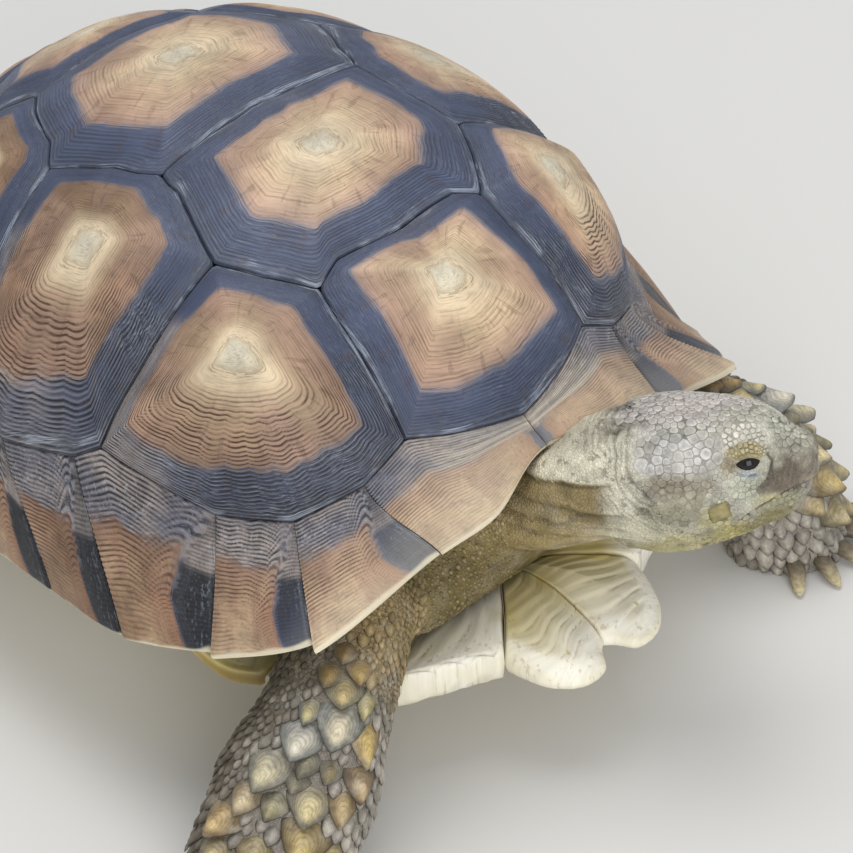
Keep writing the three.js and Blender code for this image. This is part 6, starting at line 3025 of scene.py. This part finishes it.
@dataclass
class LegScales:
    """Shields on the front of the forelegs, spurs on the thighs, and smaller scales all over legs and tail.

    Each spur is a row of its x, y and z on the left, its width and its length.
    """

    coat: ScaleCoat
    pose: HeadPose
    flesh: Flesh
    material: bpy.types.Material
    seed: int = 40
    step: float = 2.1
    most_granules: int = 3200
    granule: str = "b3a873"
    spur_rows: tuple[tuple[float, ...], ...] = (
        (104, 196, 88, 11, 15),
        (88, 200, 74, 12, 17),
        (108, 204, 70, 10, 14),
        (94, 204, 60, 9, 12),
    )
    spur_tone: str = "6f6450"
    spur_tip: str = "c9b98e"
    skin_inset: float = 1.2
    shield_tilt: float = 0.24
    scale_tilt: float = 0.16
    spur_tilt: float = 0.7

    def candidates(self, tube: Tube) -> tuple[np.ndarray, np.ndarray, np.ndarray]:
        """Lay close places over a limb.

        Args:
            tube: the limb.

        Returns:
            Places along it, turns round it in radians, and the points.
        """
        fine = np.linspace(0, len(tube.rows) - 1, 200)
        centre = tube.frame(fine)[0]
        along = np.concatenate([[0], np.cumsum(np.linalg.norm(np.diff(centre, axis=0), axis=1))])
        rings = int(along[-1] / self.step)
        t = np.interp(np.linspace(0, along[-1], rings), along, fine)
        sides = int(2 * math.pi * 30 / self.step)
        turn = np.linspace(-math.pi, math.pi, sides, endpoint=False)
        t, turn = np.meshgrid(t, turn, indexing="ij")
        turn = turn + (np.arange(rings) % 2)[:, None] * math.pi / sides
        return t.ravel(), turn.ravel(), tube.surface(t.ravel(), turn.ravel(), -self.skin_inset)

    def lie(self, tube: Tube, along: np.ndarray) -> np.ndarray:
        """The way a limb runs.

        Args:
            tube: the limb's form.
            along: places along it.

        Returns:
            A direction at each place.
        """
        last = len(tube.rows) - 1
        ahead, behind = (tube.frame(np.clip(along + step, 0, last))[0] for step in (0.1, -0.1))
        return unit(ahead - behind)

    def shields(self, name: str) -> tuple[np.ndarray, np.ndarray, list[Shield]]:
        """Places along and round a foreleg of its shields.

        Args:
            name: the leg; the left one has the right one's shields in mirror image.

        Returns:
            Places along, turns in radians, and the shields.
        """
        along = np.array([shield.along for shield in SHIELDS])
        turn = np.radians([shield.turn for shield in SHIELDS])
        if name == "foreleg_right":
            return along, turn, list(SHIELDS)
        right, left = self.flesh.foreleg_right, self.flesh.foreleg_left
        centre = right.frame(along)[0]
        outward = unit(right.surface(along, turn) - centre) * (-1, 1, 1)
        scale = (len(left.rows) - 1) / (len(right.rows) - 1)
        options = np.radians(np.arange(0, 360, 3.0))
        t, angle = np.meshgrid(along * scale, options, indexing="ij")
        headings = unit(left.surface(t, angle) - left.frame(t)[0])
        best = np.einsum("ijk,ik->ij", headings, outward).argmax(axis=1)
        return along * scale, options[best], list(SHIELDS)

    def spots(self, name: str, along: np.ndarray, turn: np.ndarray, size: np.ndarray) -> Spots:
        """Make the spots of scales on a leg.

        Args:
            name: the leg.
            along: places along it.
            turn: turns round it, in radians.
            size: each scale's width, length and height.

        Returns:
            The spots.
        """
        tube = self.flesh.legs()[name]
        place, normal = self.coat.settle(tube.surface(along, turn, -self.skin_inset))
        tint = self.coat.tint.at(place)
        root = Chart[name].spot(turn / (2 * math.pi), along / (len(tube.rows) - 1))
        return Spots(place, normal, self.lie(tube, along), size, tint, tint, root)

    def build_leg(self, name: str, seed: int) -> None:
        """Cover one leg.

        Args:
            name: the leg.
            seed: picks the scales' small unevenness.
        """
        tube = self.flesh.legs()[name]
        chance = np.random.default_rng(seed)
        fore = name.startswith("fore")
        taken, held = NO_PLACES, NO_ROOM
        if fore:
            along, turn, shields = self.shields(name)
            size = np.array([(shield.width * 1.36, shield.length * 1.66, shield.width) for shield in shields])
            big = self.spots(name, along, turn, size)
            big.tint = np.array([rgb(shield.tone) for shield in shields])
            big.tip = np.array([rgb(shield.tip) for shield in shields]) * 0.86
            big.lie = big.lie + chance.normal(size=big.lie.shape) * 0.12
            self.coat.spread("shields_" + name, big, SHIELD, self.material, self.shield_tilt)
            taken, held = big.place, size[:, 0] * 0.34
        along, turn, points = self.candidates(tube)
        visible = (points[:, 2] > 3.5) & (points[:, 1] <= -138 if fore else points[:, 1] >= 136)
        along, turn, points = along[visible], turn[visible], points[visible]
        width = self.width(name, points)
        order = np.argsort(-(width + chance.uniform(0, 1.4, len(width))), kind="stable")
        along, turn, points, width = along[order], turn[order], points[order], width[order]
        keep = sow(points, width * 0.4, taken, held)
        along, turn, width = along[keep], turn[keep], width[keep]
        size = width[:, None] * (1.2, 1.62, 1.15) * chance.uniform(0.85, 1.15, (len(keep), 1))
        small = self.spots(name, along, turn, size)
        shade = chance.uniform(0.75, 1.25, (len(keep), 1))
        small.tip = np.minimum(small.tint * 1.55 * shade + 0.02, 1)
        small.tint = small.tint * 0.85 * shade
        small.lie = small.lie + chance.normal(size=small.lie.shape) * 0.08
        self.coat.spread("scales_" + name, small, LEAF, self.material, self.scale_tilt)

    def width(self, name: str, points: np.ndarray) -> np.ndarray:
        """Width of the small scales on a leg.

        Args:
            name: the leg.
            points: places on it.

        Returns:
            The width at each, in millimetres.
        """
        if name.startswith("hind"):
            low = smooth(60 - points[:, 2], 0, 50)
            return 4.2 + 3.6 * low + 0.6 * ripple(points, 20.0, 44)
        inner = 1 - smooth(np.abs(points[:, 0]), 100, 122)
        low = smooth(95 - points[:, 2], 0, 60)
        outer = smooth(points[:, 1] + 190, 0, 14)
        return 4.4 + 2.8 * low * (1 - inner) - 0.7 * inner - 0.5 * outer + 0.8 * ripple(points, 18.0, 45)

    def granules(self) -> None:
        """Cover the breast between the forelegs with granules."""
        x, y, z = self.coat.points.T
        bare = (y < -146) & (np.abs(x) < 112) & (z > 50) & (z < 128) & (self.coat.normals[:, 2] < 0.8)
        bare &= self.pose.inverse(self.coat.points)[:, 1] > 136
        points = self.coat.points[bare]
        chance = np.random.default_rng(self.seed + 7)
        points = points[chance.permutation(len(points))]
        room = 1.15 + 0.25 * ripple(points, 16.0, 46)
        keep = sow(points, room)[: self.most_granules]
        place, normal = self.coat.settle(points[keep])
        size = (room[keep] * chance.uniform(1.7, 2.2, len(keep)))[:, None] * (1, 1.15, 1.2)
        tint = self.coat.tint.at(place)
        pale = rgb(self.granule) * chance.uniform(0.6, 1.15, (len(keep), 1))
        lie = np.tile((0.0, -0.5, -1.0), (len(keep), 1))
        root = Chart.BREAST.spot(place[:, 0] / 300 + 0.5, (place[:, 2] - 40) / 100)
        spots = Spots(place, normal, lie, size, tint, pale, root)
        self.coat.spread("scales_breast", spots, BEAD, self.material, 0.05)

    def tail(self) -> None:
        """Cover the tail with small scales."""
        tube = self.flesh.tail
        along, turn, points = self.candidates(tube)
        clear = points[:, 1] > 190
        along, turn, points = along[clear], turn[clear], points[clear]
        keep = sow(points, np.full(len(points), 1.9))
        along, turn = along[keep], turn[keep]
        place, normal = self.coat.settle(points[keep])
        size = np.tile((4.6, 6.2, 4.4), (len(keep), 1))
        tint = self.coat.tint.at(place)
        root = Chart.TAIL.spot(turn / (2 * math.pi), along / (len(tube.rows) - 1))
        spots = Spots(place, normal, self.lie(tube, along), size, tint * 0.8, tint * 1.6, root)
        self.coat.spread("scales_tail", spots, LEAF, self.material, self.scale_tilt)

    def spurs(self) -> None:
        """Set the spurs on the back of the thighs."""
        for side in Side:
            rows = np.array(self.spur_rows)
            place, normal = self.coat.settle(rows[:, :3] * (side.value, 1, 1))
            size = np.stack([rows[:, 3], rows[:, 4], rows[:, 3] * 1.3], axis=1)
            tint, tip = (np.tile(rgb(code), (len(rows), 1)) for code in (self.spur_tone, self.spur_tip))
            lie = np.tile((side.value * 0.2, 0.3, -1.0), (len(rows), 1))
            root = Chart["hindleg_" + side.word].spot(rows[:, 0] / 300, rows[:, 2] / 100)
            spots = Spots(place, normal, lie, size, tint, tip, root)
            self.coat.spread("spurs_" + side.word, spots, SHIELD, self.material, self.spur_tilt)

    def build(self) -> None:
        """Cover every leg, the breast and the tail."""
        for index, name in enumerate(self.flesh.legs()):
            self.build_leg(name, self.seed + index)
        self.granules()
        self.tail()
        self.spurs()


def scale_finish() -> bpy.types.Material:
    """Build scale horn: the hide's colour round the border, another at the tip, with growth rings about it
    and painted shade at the edge.

    Returns:
        The material.
    """
    tree = Paint("scale")
    growth = tree.value_of("growth")
    place = tree.place()
    uneven = tree.times(tree.math("SUBTRACT", tree.noise(place, 170.0, 3.0), 0.5), 0.5)
    inner = tree.math("ADD", growth, uneven)
    base = tree.blend(tree.between(inner, 0.2, 0.95), tree.vector_of("tint"), tree.vector_of("tip"))
    uneven_growth = tree.math("ADD", growth, tree.times(uneven, 0.25))
    ring = tree.math("PINGPONG", tree.times(uneven_growth, 9.0), 0.5)
    rings = tree.between(ring, 0.0, 0.3, (0.78, 1.06))
    tone = tree.times(rings, tree.between(tree.noise(place, 260.0, 4.0, 0.65), 0.3, 0.7, (0.75, 1.2)))
    base = tree.toned(base, tone)
    # Painted shade at the edge of each scale and head plate, where it meets the skin.
    outline = tree.times(tree.between(growth, 0.16, 0.0), 0.6)
    base = tree.over(base, outline, "2c261d")
    dust = tree.times(tree.between(tree.noise(place, 90.0, 4.0, 0.6), 0.5, 0.7), 0.22)
    base = tree.over(base, dust, "d4cebf")
    bump = tree.bump(0.5, 0.0004, tree.math("ADD", rings, tree.times(tree.noise(place, 700.0), 0.15)))
    return tree.finished({"Base Color": base, "Roughness": 0.45, "Specular IOR Level": 0.4, "Normal": bump})


@dataclass(frozen=True)
class PlateZone:
    """Part of the head with plates of one size, in head millimetres folded to the left."""

    at: tuple[float, float, float]
    size: tuple[float, float, float]
    reach: float
    height: float
    rim: float = 1.15
    middle: float = 0.95
    # How dark the painted shade on the skin between these plates is.
    seam: float = 0.45
    square: bool = False


SQUARE_SEAM = 5.6
PLATE_ZONES = (
    PlateZone((24.5, 41, -16.5), (1.2, 1.2, 1.2), 4.6, 0.5, 0.8, 1.02, 0.6, True),
    PlateZone((28, 57, 12), (13, 19, 10.5), 2.0, 0.35, 1.1, 0.83, 0.5),
    PlateZone((19, 31, 15.5), (11, 10, 5.2), 1.15, 0.6, 0.86, 1.04, 0.3),
    PlateZone((22, 29, 10.2), (10, 10.5, 2.6), 0.62, 0.3, 0.85, 1.08, 0.3),
    PlateZone((0, 14, 12), (13, 13, 9), 1.6, 0.4, 1.1, 0.92, 0.5),
    PlateZone((0, 56, 24), (25, 34, 14), 1.75, 0.35, 1.2, 0.84, 0.5),
    PlateZone((25, 33, -7), (9, 14, 6), 1.15, 0.18, 1.05, 0.95, 0.3),
    PlateZone((25, 41, 4), (8, 7, 6), 1.1, 0.22, 1.1, 0.9, 0.35),
    PlateZone((31, 58, -3), (12, 18, 6), 1.6, 0.18, 1.15, 0.9, 0.35),
    PlateZone((28, 50, -15), (14, 18, 8), 1.7, 0.2, 1.1, 0.92, 0.35),
    PlateZone((17, 34, -27), (15, 24, 9), 1.35, 0.16, 1.04, 0.94, 0.3),
    PlateZone((12, 10, -15), (12, 12, 6), 1.3, 0.14, 1.04, 0.94, 0.3),
)


@dataclass
class HeadPlates:
    """The head's plates: cells fitted edge to edge over the skin.

    Each of a plate's rings is its share of the way out, its share of the plate's height and its growth.
    """

    coat: ScaleCoat
    pose: HeadPose
    material: bpy.types.Material
    gap: float = 0.16
    corners: int = 12
    chart_length: float = 130.0
    chart_patch: float = 0.0012
    rings: tuple[tuple[float, float, float], ...] = (
        (1.0, -0.25, 0.0),
        (1.0, 0.35, 0.1),
        (0.82, 0.8, 0.55),
        (0.45, 1.0, 1.0),
    )

    def zones(self, local: np.ndarray) -> tuple[np.ndarray, np.ndarray]:
        """Sort head points into the zones of plates.

        Args:
            local: head points.

        Returns:
            The number of each point's zone, or -1, and the room that its plate needs.
        """
        folded = left_folded(local)
        zone = np.full(len(local), -1)
        for index in reversed(range(len(PLATE_ZONES))):
            row = PLATE_ZONES[index]
            inside = np.linalg.norm((folded - np.array(row.at)) / np.array(row.size), axis=-1) < 1
            zone[inside] = index
        eye = Eye()
        reach, _, _, edge = eye.opening(folded)
        zone[(edge < 1.5) & (reach < eye.radius + 4)] = -1
        room = np.array([row.reach for row in PLATE_ZONES])[np.maximum(zone, 0)]
        return zone, room * (1 + 0.22 * ripple(local, 7.0, 51))

    def directions(self) -> np.ndarray:
        """The directions of a plate's corners."""
        return (np.arange(self.corners) + 0.5) * (2 * math.pi / self.corners)

    def cell(self, seed: np.ndarray, others: np.ndarray, own: float, rooms: np.ndarray) -> np.ndarray:
        """Corner reaches of the cell round a seed, in a ring of directions on its plane.

        Args:
            seed: 2 coordinates.
            others: its neighbours' coordinates.
            own: the seed's room.
            rooms: the neighbours' rooms.

        Returns:
            How far the cell reaches in each direction.
        """
        turn = self.directions()
        heading = np.stack([np.cos(turn), np.sin(turn)], axis=-1)
        reach = np.full(self.corners, own * 1.35)
        away = others - seed
        distance = np.linalg.norm(away, axis=1)
        facing = heading @ (away / distance[:, None]).T
        border = distance * own / (own + rooms)
        limit = np.where(facing > 0.05, border / np.maximum(facing, 0.05), 1e3)
        return np.minimum(reach, limit.min(axis=1)) - self.gap

    def plate(
        self,
        seed: np.ndarray,
        normal: np.ndarray,
        near: tuple[np.ndarray, np.ndarray],
        own: float,
        row: PlateZone,
    ) -> tuple[np.ndarray, list, dict, np.ndarray]:
        """Build one plate.

        Args:
            seed: its middle on the skin.
            normal: the way it faces.
            near: its neighbours' middles and their rooms.
            own: its own room.
            row: the zone that it is in.

        Returns:
            Its points, its faces, its growth on each point, and the plane that it lies on.
        """
        normal = unit(normal)
        side = unit(np.cross(normal, (0.3, 0.9, 0.1)))
        up = np.cross(normal, side)
        plane = np.stack([side, up], axis=1)
        angle = self.directions()
        reach = self.cell(seed @ plane, near[0] @ plane, own, near[1])
        if row.square:
            angle = angle + math.pi / self.corners
            diagonal = angle + math.pi / 4
            reach = row.reach / np.maximum(np.abs(np.cos(diagonal)), np.abs(np.sin(diagonal)))
        reach = np.maximum(reach, 0.25 * own)
        corners = side * np.cos(angle)[:, None] + up * np.sin(angle)[:, None]
        foot, lean = self.coat.settle(seed + corners * reach[:, None])
        shape = [
            seed + (foot - seed) * share + lean * (height * row.height) for share, height, _ in self.rings
        ]
        ends = np.array([seed - normal * 0.6, seed + normal * row.height])
        steps = np.array([step for _, _, step in self.rings])
        growth = np.broadcast_to(steps[:, None], (len(steps), self.corners))
        return *closed_rings(np.array(shape), ends, {"growth": (growth, 0.0, 1.0)}), plane

    def patch(self, body: np.ndarray, seed: np.ndarray, plane: np.ndarray, own: float) -> np.ndarray:
        """Lay one plate out on the head's tile of the chart.

        Args:
            body: its points.
            seed: its middle.
            plane: the plane that it lies on.
            own: its room.

        Returns:
            Its points' places on the chart, with a third coordinate of nought.
        """
        spot = self.pose.inverse(seed)
        about = math.atan2(spot[0], spot[2]) / (2 * math.pi)
        root = Chart.HEAD.spot(np.array([about]), np.array([spot[1] / self.chart_length]))
        offset = (body - seed) @ plane / max(own, 0.1) * self.chart_patch
        return np.concatenate([root + offset, np.zeros((len(body), 1))], axis=1)

    def build(self) -> None:
        """Build all the plates as one piece."""
        zone, room = self.zones(self.pose.inverse(self.coat.points))
        inside = np.nonzero(zone >= 0)[0]
        chance = np.random.default_rng(52)
        inside = inside[np.lexsort((chance.uniform(size=len(inside)), zone[inside]))]
        seeds = inside[sow(self.coat.points[inside], room[inside] * 0.86)]
        places, normals = self.coat.points[seeds], self.coat.normals[seeds]
        reaches, tints = room[seeds], self.coat.tint.at(places)
        plates, values = [], {"growth": [], "tint": [], "tip": [], "root": []}
        for index, seed in enumerate(seeds):
            row, middle, own = PLATE_ZONES[zone[seed]], places[index], reaches[index]
            gaps = np.linalg.norm(places - middle, axis=1)
            near = np.nonzero((gaps < own * 2 + 5) & (gaps > 1e-6))[0]
            if len(near) == 0:
                continue
            around = places[near], reaches[near]
            body, faces, extra, plane = self.plate(middle, normals[index], around, own, row)
            plates.append((body, faces))
            values["growth"].append(extra["growth"])
            shade = chance.uniform(0.88, 1.12)
            for key, tone in (("tint", row.rim), ("tip", row.middle)):
                values[key].append(np.tile(np.minimum(tints[index] * tone * shade, 1), (len(body), 1)))
            values["root"].append(self.patch(body, middle, plane, own))
        points, polygons = merged(plates)
        attributes = {key: np.concatenate(value) for key, value in values.items()}
        attributes["spot"] = np.zeros((len(points), 3))
        piece = add_mesh("head_plates", self.coat.site.metres(points), polygons, attributes)
        self.coat.lay_map(piece.data)
        finish_piece(piece, self.material, [])


# -------------------------------------------------------------------------------- whole animal


def main() -> None:
    """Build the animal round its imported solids."""
    logging.basicConfig(level=logging.INFO, format="%(name)s: %(message)s")
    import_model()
    bpy.context.view_layer.update()
    pose = HeadPose()
    site = Site(pose.place(np.array(Eye().centre)))
    LOG.info("shift %s", site.shift)
    effects = SharedEffects()
    Studio(site).build()
    Carapace(site, HornFinish().build(effects)).build()
    Plastron(site, IvoryFinish().build(effects)).build()
    tint = HideTint(pose)
    skin = Skin(site, pose).build(HideFinish().build(effects), tint)
    Eyes(site, pose).build()
    Claws(site, claw_finish()).build()
    coat = ScaleCoat(site, skin, tint)
    scale = scale_finish()
    LegScales(coat, pose, Flesh(), scale).build()
    HeadPlates(coat, pose, scale).build()
    bpy.context.view_layer.update()


if __name__ == "__main__":
    main()
